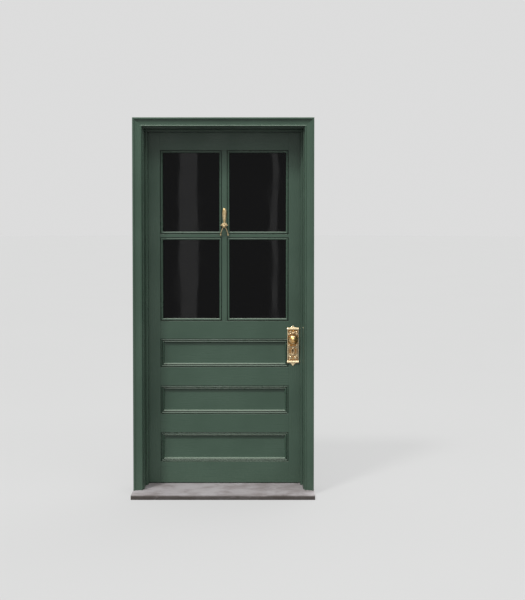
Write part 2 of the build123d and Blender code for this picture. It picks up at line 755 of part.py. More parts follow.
# Spindle through the hub, reaching into both knobs
half_side = spindle_side / 2
spindle_y = (-spindle_reach, leaf_thick + spindle_reach)
with BuildPart() as knob_spindle:
    slab((knob_x - half_side, knob_x + half_side), spindle_y, (knob_z - half_side, knob_z + half_side))

# Knob, turned: X is the radius and Y the distance from the face of the leaf
collar = neck_radius + 4.0
collar_start = -plate_thick - bolt_slack
cap_rise = knob_reach - 55.4
cap_radius = (8.6**2 + cap_rise**2) / (2 * cap_rise)
cap_angle = math.asin(8.6 / cap_radius) / 2
cap_centre = cap_radius - knob_reach
cap_middle = (cap_radius * math.sin(cap_angle), cap_centre - cap_radius * math.cos(cap_angle))
with BuildSketch() as knob_section:
    with BuildLine():
        Polyline((0, collar_start), (collar, collar_start), (collar, collar_start - 2.6))
        ThreePointArc((collar, collar_start - 2.6), (9.6, -8.6), (neck_radius, -13.5))
        ThreePointArc((neck_radius, -13.5), (10.6, -21.0), (16.0, -27.0))
        ThreePointArc((16.0, -27.0), (24.3, -32.0), (knob_radius, -39.0))
        ThreePointArc((knob_radius, -39.0), (23.4, -47.4), (17.0, -52.2))
        Line((17.0, -52.2), (15.6, -51.2))
        ThreePointArc((15.6, -51.2), (12.4, -54.4), (8.6, -55.4))
        ThreePointArc((8.6, -55.4), cap_middle, (0, -knob_reach))
        Line((0, -knob_reach), (0, collar_start))
    make_face()

middle_plane = Plane.XZ.offset(-leaf_mid)
with BuildPart() as outside_knob:
    with BuildSketch(Plane(origin=(knob_x, 0, knob_z), x_dir=(1, 0, 0), z_dir=(0, 0, 1))):
        add(knob_section.sketch)
    revolve(axis=Axis((knob_x, 0, knob_z), (0, 1, 0)))
    hole = half_side + spindle_slack
    hole_y = (-spindle_reach - 1, 0)
    slab((knob_x - hole, knob_x + hole), hole_y, (knob_z - hole, knob_z + hole), mode=Mode.SUBTRACT)

with BuildPart() as inside_knob:
    mirror(outside_knob.part, about=middle_plane)

# Ledge of an escutcheon: X is up the plate and Y its reach from the leaf
with BuildSketch() as ledge_section:
    with BuildLine():
        Line((0, 0), (0, 4.4))
        ThreePointArc((0, 4.4), (1.0, 6.2), (3.2, 7.0))
        Polyline((3.2, 7.0), (3.2, ledge_reach), (10.6, ledge_reach), (10.6, 6.6))
        ThreePointArc((10.6, 6.6), (13.0, 5.8), (ledge_height, 4.0))
        Polyline((ledge_height, 4.0), (ledge_height, 0), (0, 0))
    make_face()


def relief(radius, centre, start, sweep):
    """Traces one arc of a raised scroll, placed from the knob's axis."""
    with BuildLine() as curve:
        CenterArc((knob_x + centre[0], knob_z + centre[1]), radius, start, sweep)
    trace(curve.edges(), line_width=scroll_width)


# Escutcheon: a long plate with raised sides, two ledges, two finials and scrolls
with BuildPart() as outside_escutcheon:
    face = Plane.XZ.offset(plate_thick)
    plate_mid = knob_z + (plate_top + plate_bottom) / 2
    plate_height = plate_top - plate_bottom
    with BuildSketch(Plane.XZ):
        with Locations((knob_x, plate_mid)):
            Rectangle(plate_half_width * 2, plate_height)
    extrude(amount=plate_thick)
    with BuildSketch(face):
        with Locations((knob_x - plate_half_width + border_width / 2, plate_mid)):
            Rectangle(border_width, plate_height)
        with Locations((knob_x + plate_half_width - border_width / 2, plate_mid)):
            Rectangle(border_width, plate_height)
        with Locations((knob_x, knob_z)):
            Circle(rose_radius)
            Circle(rose_radius - 3.4, mode=Mode.SUBTRACT)
    extrude(amount=border_height)
    ledge_x = knob_x - ledge_half_width
    ledge_z = knob_z + plate_top
    section_length(ledge_section, (ledge_x, 0, ledge_z), (0, 0, 1), (1, 0, 0), ledge_half_width * 2)
    ledge_z = knob_z + plate_bottom
    ledge_x = knob_x + ledge_half_width
    section_length(ledge_section, (ledge_x, 0, ledge_z), (0, 0, -1), (-1, 0, 0), ledge_half_width * 2)
    with BuildSketch(Plane.XZ):
        with BuildLine():
            crown = knob_z + plate_top + ledge_height
            ThreePointArc((knob_x - 15, crown), (knob_x - 9, crown + 3.6), (knob_x - 5.4, crown + 5.6))
            ThreePointArc((knob_x - 5.4, crown + 5.6), (knob_x, crown + 10.4), (knob_x + 5.4, crown + 5.6))
            ThreePointArc((knob_x + 5.4, crown + 5.6), (knob_x + 9, crown + 3.6), (knob_x + 15, crown))
            Line((knob_x + 15, crown), (knob_x - 15, crown))
        make_face()
    extrude(amount=plate_thick + 1.0)
    with BuildSketch(Plane.XZ):
        with BuildLine():
            foot = knob_z + plate_bottom - ledge_height
            ThreePointArc((knob_x - 17, foot), (knob_x - 10.4, foot - 4.6), (knob_x - 7, foot - 7))
            ThreePointArc((knob_x - 7, foot - 7), (knob_x - 3.6, foot - 12), (knob_x, foot - 16.6))
            ThreePointArc((knob_x, foot - 16.6), (knob_x + 3.6, foot - 12), (knob_x + 7, foot - 7))
            ThreePointArc((knob_x + 7, foot - 7), (knob_x + 10.4, foot - 4.6), (knob_x + 17, foot))
            Line((knob_x + 17, foot), (knob_x - 17, foot))
        make_face()
    extrude(amount=plate_thick + 1.0)
    with BuildSketch(face):
        for side, start in ((-1, 0), (1, 180)):
            relief(8.0, (side * 14.5, plate_bottom + 13.0), start + 40 * side, -side * 250)
            relief(4.0, (side * 14.5, plate_bottom + 13.0), start - 90 * side, side * 240)
            relief(6.6, (side * 15.0, plate_top - 11.5), start - 40 * side, side * 250)
            relief(3.0, (side * 15.0, plate_top - 11.5), start + 90 * side, -side * 240)
    extrude(amount=scroll_height)
    start = (knob_x, 1, knob_z)
    rod(start, (0, -1, 0), neck_radius + 1.5, plate_thick + 2, mode=Mode.SUBTRACT)
    keyhole((-plate_thick - 1, 1), 0)
    for z in escutcheon_screw_z:
        screw_seat((knob_x, -plate_thick, knob_z + z), (0, 1, 0))

with BuildPart() as inside_escutcheon:
    mirror(outside_escutcheon.part, about=middle_plane)

escutcheon_heads = []
for z in escutcheon_screw_z:
    outer_head = (knob_x, -plate_thick, knob_z + z)
    inner_head = (knob_x, leaf_thick + plate_thick, knob_z + z)
    escutcheon_heads.append((outer_head, (0, 1, 0), (0.8, 0, 0.6)))
    escutcheon_heads.append((inner_head, (0, -1, 0), (0.6, 0, 0.8)))

with BuildPart() as escutcheon_screws:
    add(screws(escutcheon_heads))

# Knocker plate: a tapered, rounded leaf above two hinge ears, cut flat at the back
hinge_line = (0, -knocker_axis_reach, knocker_z)
with BuildPart() as knocker_plate:
    turned = Plane(origin=(0, knocker_sink, knocker_z), x_dir=(1, 0, 0), z_dir=(0, -1, 0))
    with BuildSketch(turned):
        with BuildLine():
            low = (knocker_sink + 1.6, knocker_leaf_bottom)
            high = (knocker_sink + 2.4, knocker_leaf_top)
            widest = (math.hypot(knocker_leaf_half_width, knocker_sink), 52.0)
            Spline(low, (10.3, 27.0), widest, (12.9, 82.0), high)
            Polyline(high, (0, knocker_leaf_top), (0, knocker_leaf_bottom), low)
        make_face()
    revolve(axis=Axis((0, knocker_sink, knocker_z), (0, 0, 1)))
    slab((-20, 20), (0, 40), (knocker_z, knocker_z + 100), mode=Mode.SUBTRACT)
    slab((-ear_outer, ear_outer), (-3.0, 0), (knocker_z - 8.0, knocker_z + knocker_leaf_bottom + 2))
    for side in (-1, 1):
        ear_x = side * ear_outer
        rod((ear_x, hinge_line[1], knocker_z), (-side, 0, 0), ear_radius, ear_outer - ear_inner)
        ear_span = sorted((side * ear_inner, side * ear_outer))
        slab(ear_span, (hinge_line[1], 0), (knocker_z - ear_radius, knocker_z + ear_radius))
    bore = knocker_pin_radius + running_clearance
    rod((-20, hinge_line[1], knocker_z), (1, 0, 0), bore, 40, mode=Mode.SUBTRACT)

with BuildPart() as knocker_pin:
    rod((-knocker_pin_end, hinge_line[1], knocker_z), (1, 0, 0), knocker_pin_radius, knocker_pin_end * 2)
    for end in (-knocker_pin_end, knocker_pin_end):
        with Locations(Location((end, *hinge_line[1:]), (0, 90, 0))):
            Sphere(3.6)

# Knocker striker: a ball on a barrel, with two arms that end in small ball feet
ball = (0, -knocker_ball_reach, knocker_z - 5.0)
foot_y = -knocker_foot_gap - knocker_foot_radius
with BuildPart() as knocker_striker:
    barrel_half = ear_inner - knuckle_gap
    start = (-barrel_half, hinge_line[1], knocker_z)
    rod(start, (1, 0, 0), knocker_barrel_radius, barrel_half * 2)
    with Locations(Location(ball, (30, 90, 0))):
        Sphere(knocker_ball_radius)
    for side in (-1, 1):
        foot = (side * knocker_foot_spread, foot_y, knocker_z - knocker_foot_drop)
        shoulder = (side * 4.0, -23.0, knocker_z - 10.0)
        elbow = (side * 15.0, -17.5, knocker_z - 30.0)
        with BuildLine() as path:
            ThreePointArc(shoulder, elbow, foot)
        with BuildSketch(Plane(origin=path.edge() @ 0, z_dir=path.edge() % 0)):
            Circle(knocker_arm_radius)
        sweep(path=path.edge())
        with Locations(Location(foot, (90, 0, 0))):
            Sphere(knocker_foot_radius)
    bore = knocker_pin_radius + running_clearance
    rod((-20, hinge_line[1], knocker_z), (1, 0, 0), bore, 40, mode=Mode.SUBTRACT)

pieces = {
    "stone_sill": stone_sill,
    "hinge_jamb": hinge_jamb,
    "lock_jamb": lock_jamb,
    "head_jamb": head_jamb,
    "hinge_stop": hinge_stop,
    "lock_stop": lock_stop,
    "head_stop": head_stop,
    "hinge_casing": hinge_casing,
    "lock_casing": lock_casing,
    "head_casing": head_casing,
    "strike_plate": strike_plate,
    "strike_screws": strike_screws,
    "frame_hinge_plates": frame_hinge_plates,
    "frame_hinge_screws": frame_hinge_screws,
    "hinge_pins": hinge_pins,
    "hinge_stile": hinge_stile,
    "lock_stile": lock_stile,
    "bottom_rail": bottom_rail,
    "lower_cross_rail": lower_cross_rail,
    "upper_cross_rail": upper_cross_rail,
    "lock_rail": lock_rail,
    "top_rail": top_rail,
    "upright_bar": upright_bar,
    "left_cross_bar": left_cross_bar,
    "right_cross_bar": right_cross_bar,
    "lower_panel": lower_panel,
    "middle_panel": middle_panel,
    "upper_panel": upper_panel,
    "lower_moulding": lower_moulding,
    "middle_moulding": middle_moulding,
    "upper_moulding": upper_moulding,
    "inside_mouldings": inside_mouldings,
    "upper_left_beads": upper_left_beads,
    "upper_right_beads": upper_right_beads,
    "lower_left_beads": lower_left_beads,
    "lower_right_beads": lower_right_beads,
    "inside_beads": inside_beads,
    "upper_left_pane": upper_left_pane,
    "upper_right_pane": upper_right_pane,
    "lower_left_pane": lower_left_pane,
    "lower_right_pane": lower_right_pane,
    "leaf_hinge_plates": leaf_hinge_plates,
    "leaf_hinge_screws": leaf_hinge_screws,
    "lock_case": lock_case,
    "lock_screws": lock_screws,
    "latch_hub": latch_hub,
    "latch_bolt": latch_bolt,
    "dead_bolt": dead_bolt,
    "knob_spindle": knob_spindle,
    "outside_knob": outside_knob,
    "inside_knob": inside_knob,
    "outside_escutcheon": outside_escutcheon,
    "inside_escutcheon": inside_escutcheon,
    "escutcheon_screws": escutcheon_screws,
    "knocker_plate": knocker_plate,
    "knocker_pin": knocker_pin,
    "knocker_striker": knocker_striker,
}
os.makedirs("parts", exist_ok=True)
for name, piece in pieces.items():
    piece.part.label = name
    export_step(piece.part, "parts/" + name + ".step")
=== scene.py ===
"""Panelled front door in its frame: painted wood, dark glass, cast brass and a stone sill."""

import json
import math

import bmesh
import bpy
import numpy as np
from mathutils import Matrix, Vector, noise

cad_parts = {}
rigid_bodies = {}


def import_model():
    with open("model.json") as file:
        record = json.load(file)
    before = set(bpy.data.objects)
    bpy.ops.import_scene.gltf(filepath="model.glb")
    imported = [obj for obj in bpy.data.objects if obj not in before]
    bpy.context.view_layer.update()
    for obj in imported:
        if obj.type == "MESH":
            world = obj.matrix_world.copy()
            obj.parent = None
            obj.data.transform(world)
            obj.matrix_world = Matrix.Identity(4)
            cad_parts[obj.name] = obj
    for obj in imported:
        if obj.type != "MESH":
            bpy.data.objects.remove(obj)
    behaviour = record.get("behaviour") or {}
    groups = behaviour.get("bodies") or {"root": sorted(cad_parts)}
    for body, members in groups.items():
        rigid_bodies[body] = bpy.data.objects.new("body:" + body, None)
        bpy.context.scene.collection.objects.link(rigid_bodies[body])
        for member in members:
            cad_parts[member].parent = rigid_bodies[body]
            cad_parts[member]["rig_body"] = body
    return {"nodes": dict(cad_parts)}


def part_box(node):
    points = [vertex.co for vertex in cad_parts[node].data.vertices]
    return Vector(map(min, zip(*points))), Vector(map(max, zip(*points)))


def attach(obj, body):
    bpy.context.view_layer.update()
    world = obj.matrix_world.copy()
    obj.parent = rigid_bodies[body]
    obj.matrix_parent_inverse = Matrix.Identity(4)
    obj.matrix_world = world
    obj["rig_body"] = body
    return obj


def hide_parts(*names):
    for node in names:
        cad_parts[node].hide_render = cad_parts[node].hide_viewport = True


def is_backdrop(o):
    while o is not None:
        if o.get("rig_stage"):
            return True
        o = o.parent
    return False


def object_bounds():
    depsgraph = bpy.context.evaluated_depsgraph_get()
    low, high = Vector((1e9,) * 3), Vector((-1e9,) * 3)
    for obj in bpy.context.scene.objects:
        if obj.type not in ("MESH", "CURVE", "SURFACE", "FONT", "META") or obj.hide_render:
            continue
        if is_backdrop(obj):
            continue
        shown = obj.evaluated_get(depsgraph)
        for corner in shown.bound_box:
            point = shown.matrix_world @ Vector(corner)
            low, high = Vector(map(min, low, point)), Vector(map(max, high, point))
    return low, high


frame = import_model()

CAD_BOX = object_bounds()
MM = 0.001
# The share of the backdrop's strength at which the lit floor looks as bright as the backdrop.
FLOOR_SHARE = 0.69
# Edges that turn by more degrees than this stay hard.
MOULDED_EDGE = 34
TURNED_EDGE = 38
STONE_EDGE = 40
# Points that are nearer to each other than this are one.
WELD = 0.01 * MM
# The field and the carved work of a key plate, in millimetres from its seat.
PLATE_FIELD = 3.0
PLATE_RELIEF = 1.1
# How far the keyhole's levers lie below the knob's axis, in millimetres.
LEVER_DROP = 66.0

bl_info = {
    "name": "Panelled Front Door",
    "version": (1, 0, 0),
    "blender": (4, 5, 0),
    "location": "View3D > Sidebar > Front Door",
    "description": "Dresses a panelled and glazed front door with its frame, sill and brassware",
    "category": "Object",
}


def linear(red, green, blue):
    """Turns a colour given in 0 to 255 screen steps into scene-linear values."""
    steps = [c / 255 for c in (red, green, blue)]
    return tuple(c / 12.92 if c <= 0.04045 else ((c + 0.055) / 1.055) ** 2.4 for c in steps)


def amount(name, description, default, **more):
    """A number that isn't less than nought."""
    return bpy.props.FloatProperty(
        name=name, description=description, default=default, min=0.0, **more
    )


def colour(name, description, red, green, blue):
    """A colour property with its default in screen steps."""
    return bpy.props.FloatVectorProperty(
        name=name,
        description=description,
        default=linear(red, green, blue),
        subtype="COLOR",
        size=3,
        min=0.0,
        max=1.0,
    )


def length(name, description, millimetres):
    """A length property with its default in millimetres."""
    return amount(
        name, description, millimetres * MM, subtype="DISTANCE", unit="LENGTH", precision=5
    )


def factor(name, description, default):
    """A property from nought to one."""
    return amount(name, description, default, subtype="FACTOR", max=1.0)


class PaintSettings(bpy.types.PropertyGroup):
    """The gloss paint on the leaf and the frame."""

    colour: colour("Paint", "Top coat of the leaf and frame", 66, 87, 73)
    under: colour("Under coat", "Darker tone that shows through the strokes", 51, 71, 58)
    # This colour is dirt in the quirks and also painted shade under ledges and in grooves.
    grime_and_shade: colour("Grime", "Dirt that settles in the quirks", 22, 30, 25)
    # This colour is settled dirt at the foot and on ledges, and also painted sheen on faces that
    # turn up to the light.
    dust_and_sheen: colour("Dust", "Pale dust on the ledges and at the foot", 150, 160, 146)
    gloss: factor("Roughness", "Roughness of the paint between strokes", 0.24)
    stroke: length("Stroke depth", "Height of the brush marks", 0.16)
    arris: length("Eased edge", "How far the edges of the wood are eased", 0.8)


class BrassSettings(bpy.types.PropertyGroup):
    """The cast brass of the knobs, key plates, knocker and strike plate."""

    bright: colour("Bright brass", "Brass where hands keep it polished", 240, 222, 184)
    worn: colour("Worn brass", "Brass on the flats", 198, 154, 90)
    sunk: colour("Sunk brass", "Brass in the field of the key plates", 160, 108, 52)
    dull: colour("Dull brass", "Brass of the knocker, which nobody polishes", 178, 154, 110)
    patina: colour("Patina", "Dark colour in the hollows", 80, 48, 22)
    polish: factor("Roughness", "Roughness of the polished metal", 0.24)
    casting: length("Casting grain", "Size of the finest form in a casting", 0.7)


class StoneSettings(bpy.types.PropertyGroup):
    """The stone of the sill."""

    colour: colour("Stone", "Clean top of the sill", 152, 147, 148)
    shade: colour("Shade", "Darker cloud in the stone", 122, 115, 114)
    # At the street edge this colour is weathering and also painted shade on the nose and front
    # face.
    stain_and_shade: colour("Stain", "Weathered street edge", 46, 38, 31)
    nose: length("Nose", "Radius of the street edge", 6.0)
    chips: length("Chips", "Deepest chip in the street edge", 2.6)
    wear: length("Foot wear", "How far feet have hollowed the middle", 1.6)


class GlassSettings(bpy.types.PropertyGroup):
    """The panes."""

    # The tint is painted shade: near-black so the panes read as glass with an unlit room behind.
    painted_shade_tint: colour("Glass", "Colour of the dark panes", 12, 12, 13)
    ripple: length("Ripple", "Height of the waves in old glass", 0.4)


class ScrewSettings(bpy.types.PropertyGroup):
    """The slotted countersunk screws."""

    head: length("Head radius", "Radius of the head", 4.2)
    shank: length("Shank radius", "Radius of the shank", 2.0)
    sink: length("Head depth", "Depth of the countersunk head", 2.4)
    reach: length("Length", "Whole length of the screw", 25.0)
    slot_width: length("Slot width", "Width of the slot", 0.9)
    slot_depth: length("Slot depth", "Depth of the slot", 0.8)
    seed: bpy.props.IntProperty(
        name="Slot turn", description="Seed for how far each screw is turned", default=7, min=0
    )


class StageSettings(bpy.types.PropertyGroup):
    """The studio: floor, light and camera."""

    floor: colour("Floor", "Colour of the floor", 96, 96, 95)
    level: factor("Level", "Strength of the soft light at eye height", 0.1)
    overhead: amount("Overhead", "What the soft light gains towards the top", 1.7)
    backdrop: factor("Backdrop", "Strength of the pale background that is seen", 0.72)
    key: amount("Key light", "Strength of the key light, upper left", 1.9)
    fill: amount("Fill light", "Strength of the soft light behind the door", 0.8)
    softbox: amount("Softbox", "Power of the long lamp overhead", 74.0, unit="POWER")
    lens: amount("Lens", "Focal length in millimetres", 61.01, unit="CAMERA")


class Web:
    """A node tree whose nodes are made, set and fed in one call."""

    def __init__(self, tree):
        self.tree = tree

    def feed(self, socket, value):
        """Links a socket to another, or sets its value."""
        if isinstance(value, bpy.types.NodeSocket):
            self.tree.links.new(value, socket)
        else:
            socket.default_value = value

    def node(self, kind, inputs=None, pick=0, **options):
        """Adds a node and returns one of its outputs, or all by name where pick is None."""
        node = self.tree.nodes.new(kind)
        for key, value in options.items():
            setattr(node, key, value)
        for key, value in (inputs or {}).items():
            if isinstance(key, str):
                key = next(i for i, s in enumerate(node.inputs) if s.enabled and s.name == key)
            self.feed(node.inputs[key], value)
        live = {s.name: s for s in node.outputs if s.enabled}
        return live if pick is None else list(live.values())[pick]

    def split(self, vector):
        """The three numbers of a vector."""
        return self.node("ShaderNodeSeparateXYZ", {0: vector}, None).values()

    def maths(self, operation, first, second=0.0):
        """One sum of two numbers."""
        return self.node("ShaderNodeMath", {0: first, 1: second}, operation=operation)

    def shown(self):
        """One for what the camera, a gloss or a glass shows, nought for what only lights."""
        ray = self.node("ShaderNodeLightPath", pick=None)
        shown = self.maths("MAXIMUM", ray["Is Camera Ray"], ray["Is Glossy Ray"])
        return self.maths("MAXIMUM", shown, ray["Is Transmission Ray"])


class Finish(Web):
    """A node material round one Principled shader, on Object coordinates."""

    def __init__(self, name):
        self.material = bpy.data.materials.new(name)
        self.material.use_nodes = True
        super().__init__(self.material.node_tree)
        self.tree.nodes.clear()
        self.shader = self.tree.nodes.new("ShaderNodeBsdfPrincipled")
        self.node("ShaderNodeOutputMaterial", {"Surface": self.shader.outputs["BSDF"]}, None)
        given = self.node("ShaderNodeTexCoord", pick=None)
        self.place = given["Object"]
        self.x, self.y, self.z = self.split(self.place)
        _, _, self.up = self.split(given["Normal"])

    def noise(self, scale, detail=3.0, roughness=0.55, distortion=0.0):
        """Noise with its own number of waves per metre along X, Y and Z."""
        scale = scale if isinstance(scale, tuple) else (scale,) * 3
        inputs = {
            "Vector": self.node("ShaderNodeMapping", {"Vector": self.place, "Scale": scale}),
            "Scale": 1.0,
            "Detail": detail,
            "Roughness": roughness,
            "Distortion": distortion,
        }
        return self.node("ShaderNodeTexNoise", inputs)

    def ramp(self, value, start, end, low=0.0, high=1.0):
        """Maps a value between two limits onto a range, smoothly."""
        inputs = {"Value": value, "From Min": start, "From Max": end, "To Min": low, "To Max": high}
        return self.node("ShaderNodeMapRange", inputs, interpolation_type="SMOOTHSTEP")

    def mix(self, share, first, second):
        """Mixes two colours."""
        both = [c if isinstance(c, bpy.types.NodeSocket) else (*c, 1.0) for c in (first, second)]
        inputs = {"Factor": share, "A": both[0], "B": both[1]}
        return self.node("ShaderNodeMix", inputs, data_type="RGBA")

    def relief(self, height, depth, under=None):
        """Adds a bump of a real depth, over an earlier one."""
        inputs = {"Height": height, "Distance": depth, "Strength": 1.0}
        if under is not None:
            inputs["Normal"] = under
        return self.node("ShaderNodeBump", inputs)

    def marked(self, name):
        """Reads a number that a mesh carries at each point."""
        return self.node("ShaderNodeAttribute", pick=None, attribute_name=name)["Fac"]

    def set(self, **sockets):
        """Feeds the shader's own sockets, with spaces written as underscores."""
        for key, value in sockets.items():
            if key.endswith(("Color", "Tint")) and not isinstance(value, bpy.types.NodeSocket):
                value = (*value, 1.0)
            self.feed(self.shader.inputs[key.replace("_", " ")], value)
        return self.material


def gloss_paint(name, strokes, share=1.0):
    """Brushed gloss paint, with the marks drawn along the wood; ledges paled by settled dirt and
    painted sheen, undersides and quirks darkened by dirt and painted shade.
    """
    paint = bpy.context.scene.front_door_paint
    made = Finish(name)
    marks = made.noise(strokes, 4.0, 0.6)
    cloud = made.noise(2.6, 3.0, 0.6)
    grain = made.noise(700.0, 2.0, 0.5)
    tone = made.mix(made.ramp(cloud, 0.32, 0.68, 0.0, 0.55), paint.colour, paint.under)
    tone = made.mix(made.ramp(marks, 0.35, 0.7, 0.0, 0.2 * share), tone, paint.under)
    speckle = made.ramp(made.noise(90.0, 5.0, 0.7), 0.3, 0.8)
    foot = made.maths("MULTIPLY", made.ramp(made.z, 0.2, 0.02), speckle)
    tone = made.mix(made.maths("MULTIPLY", foot, 0.08), tone, paint.dust_and_sheen)
    # Painted sheen and settled dirt: faces that turn up to the overhead light are paled.
    tone = made.mix(made.ramp(made.up, 0.2, 0.75, 0.0, 0.42), tone, paint.dust_and_sheen)
    # Painted shade and dirt: faces that turn down, away from the overhead light, are darkened.
    tone = made.mix(made.ramp(made.up, -0.15, -0.7, 0.0, 0.62), tone, paint.grime_and_shade)
    # Painted shade and dirt in the quirks and grooves that the hollow mark finds.
    hollow = made.ramp(made.marked("hollow"), 0.05, 0.9, 0.0, 0.85)
    worn = made.maths("ADD", marks, cloud)
    bumps = made.relief(marks, paint.stroke * share)
    return made.set(
        Base_Color=made.mix(hollow, tone, paint.grime_and_shade),
        Roughness=made.ramp(worn, 0.7, 1.35, paint.gloss, paint.gloss + 0.16),
        IOR=1.5,
        Specular_IOR_Level=0.35,
        Normal=made.relief(grain, 0.02 * MM, bumps),
    )


def paint_upright():
    """Paint on upright pieces."""
    return gloss_paint("paint_upright", (330.0, 330.0, 7.0))


def paint_level():
    """Paint on level pieces."""
    return gloss_paint("paint_level", (7.0, 330.0, 330.0))


def paint_moulded():
    """Paint on mouldings, where the brush leaves fewer marks."""
    return gloss_paint("paint_moulded", (60.0, 60.0, 60.0), 0.3)


def brass_finish(name, flat, polish):
    """Cast brass, bright where it is rubbed and dark in its hollows."""
    brass = bpy.context.scene.front_door_brass
    made = Finish(name)
    cloud = made.noise(60.0, 4.0, 0.6)
    spots = made.noise(420.0, 3.0, 0.6)
    hollow = made.marked("hollow")
    sunk = made.marked("sunk")
    raised = made.maths("MAXIMUM", made.maths("MULTIPLY", sunk, -0.8), 0.0)
    field = made.maths("MAXIMUM", sunk, 0.0)
    field = made.maths("MULTIPLY", field, made.ramp(cloud, 0.25, 0.6, 0.95, 0.7))
    tone = made.mix(made.ramp(cloud, 0.35, 0.7, 0.0, 0.6), flat, brass.bright)
    for share, over in (
        (raised, brass.bright),
        (field, brass.sunk),
        (made.ramp(spots, 0.55, 0.8, 0.0, 0.45), brass.patina),
        (made.ramp(hollow, 0.04, 0.4, 0.0, 0.92), brass.patina),
        (made.ramp(hollow, -0.08, -0.45), brass.bright),
    ):
        tone = made.mix(share, tone, over)
    rough = made.ramp(cloud, 0.3, 0.75, polish, polish + 0.2)
    rough = made.maths("ADD", rough, made.ramp(hollow, 0.0, 0.5, 0.0, 0.25))
    rough = made.maths("ADD", rough, made.maths("MULTIPLY", sunk, 0.09))
    bumps = made.relief(spots, 0.03 * MM)
    return made.set(Base_Color=tone, Metallic=1.0, Roughness=rough, Normal=bumps)


def cast_brass():
    """The polished brass of the key plates, knobs, strike plate and their screws."""
    brass = bpy.context.scene.front_door_brass
    return brass_finish("cast_brass", brass.worn, brass.polish)


def dull_brass():
    """The duller brass of the knocker."""
    brass = bpy.context.scene.front_door_brass
    return brass_finish("dull_brass", brass.dull, brass.polish + 0.16)


def satin_steel():
    """Machined steel of the hinges and the lock, with a faint drawn grain."""
    made = Finish("satin_steel")
    drawn = made.noise((900.0, 900.0, 30.0))
    cloud = made.noise(45.0)
    return made.set(
        Base_Color=made.mix(
            made.ramp(cloud, 0.35, 0.7), linear(176, 175, 172), linear(128, 126, 122)
        ),
        Metallic=1.0,
        Roughness=made.ramp(drawn, 0.3, 0.7, 0.28, 0.46),
        Normal=made.relief(drawn, 0.01 * MM),
    )


def oily_steel():
    """Oily steel of the levers deep in the lock, darkened as painted shade for the inside of the
    case.
    """
    made = Finish("oily_steel")
    film = made.noise(220.0)
    return made.set(
        # Painted shade: the steel is near-black so the keyhole shows the shaded inside of the lock.
        Base_Color=made.mix(made.ramp(film, 0.35, 0.7), linear(46, 42, 38), linear(28, 25, 22)),
        Metallic=0.6,
        Roughness=made.ramp(film, 0.3, 0.7, 0.5, 0.65),
        Normal=made.relief(film, 0.02 * MM),
    )


def dark_glass():
    """Old window glass, tinted near-black with a dimmed reflection: painted shade for the unlit
    room behind it.
    """
    glass = bpy.context.scene.front_door_glass
    made = Finish("dark_glass")
    waves = made.noise((7.0, 7.0, 4.0), 1.0, 0.4)
    film = made.noise(9.0, 4.0, 0.6)
    return made.set(
        # Painted shade: the near-black tint darkens what shows through, and the grey specular tint
        # dims the reflection.
        Base_Color=glass.painted_shade_tint,
        Roughness=made.ramp(film, 0.4, 0.75, 0.02, 0.07),
        Transmission_Weight=0.85,
        IOR=1.5,
        Specular_Tint=(0.2, 0.2, 0.2),
        Normal=made.relief(waves, glass.ripple),
    )


def worn_stone():
    """Pale stone, clouded and pitted, stained and darkened with painted shade along the street
    edge.
    """
    stone = bpy.context.scene.front_door_stone
    made = Finish("worn_stone")
    cloud = made.noise((7.0, 11.0, 11.0), 5.0, 0.62, 0.4)
    pits = made.noise(160.0, 4.0, 0.65)
    grain = made.noise(900.0, 2.0)
    marks = made.noise((16.0, 60.0, 60.0), 4.0, 0.6)
    # The street edge: weathering and painted shade, darkening the nose and front face that overhead
    # light leaves in shade.
    edge = made.maths("ADD", made.y, made.maths("MULTIPLY", marks, 0.02))
    edge = made.maths("MULTIPLY", made.ramp(edge, -0.231, -0.2455), 0.85)
    tone = made.mix(made.ramp(cloud, 0.36, 0.7), stone.colour, stone.shade)
    tone = made.mix(made.ramp(pits, 0.6, 0.78, 0.0, 0.55), tone, stone.stain_and_shade)
    tone = made.mix(edge, tone, stone.stain_and_shade)
    tone = made.mix(made.ramp(marks, 0.6, 0.8, 0.0, 0.4), tone, stone.shade)
    return made.set(
        Base_Color=tone,
        Roughness=made.ramp(cloud, 0.3, 0.7, 0.62, 0.82),
        Normal=made.relief(grain, 0.08 * MM, made.relief(pits, 0.5 * MM)),
    )


def plain_floor():
    """The pale floor, as bright to the eye as the background behind it."""
    stage = bpy.context.scene.front_door_stage
    made = Finish("plain_floor")
    cloud = made.ramp(made.noise(0.7), 0.3, 0.7)
    return made.set(
        Base_Color=made.mix(cloud, stage.floor, [c * 0.98 for c in stage.floor]),
        Roughness=0.9,
        Specular_IOR_Level=0.0,
        Emission_Color=(1.0, 1.0, 1.0),
        Emission_Strength=made.maths("MULTIPLY", made.shown(), stage.backdrop * FLOOR_SHARE),
    )


MADE = {}


def finish(maker):
    """Returns a finish, made once."""
    if maker not in MADE:
        MADE[maker] = maker()
    return MADE[maker]


def new_piece(name, mesh):
    """Links a new object at the origin."""
    piece = bpy.data.objects.new(name, mesh)
    bpy.context.scene.collection.objects.link(piece)
    return piece


def settle(mesh, data, hard=None):
    """Writes a bmesh into a mesh; hard is the angle past which its smooth shading breaks."""
    mesh.to_mesh(data)
    mesh.free()
    if hard:
        data.shade_smooth()
        data.set_sharp_from_angle(angle=math.radians(hard))


def solid_piece(name, mesh, hard=None):
    """Makes an object of a bmesh."""
    data = bpy.data.meshes.new(name)
    settle(mesh, data, hard)
    return new_piece(name, data)


def dress(piece, material, slot, *nodes):
    """Gives a piece its finish and body, and lets it stand for its CAD nodes; slot is not used."""
    piece.data.materials.clear()
    piece.data.materials.append(material)
    piece.data.polygons.foreach_set("material_index", [0] * len(piece.data.polygons))
    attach(piece, frame["nodes"][nodes[0]]["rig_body"])
    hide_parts(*nodes)
    return piece


def coat(material, *nodes):
    """Gives CAD nodes that keep their shape a finish."""
    for node in nodes:
        for slot in frame["nodes"][node].material_slots:
            slot.material = material


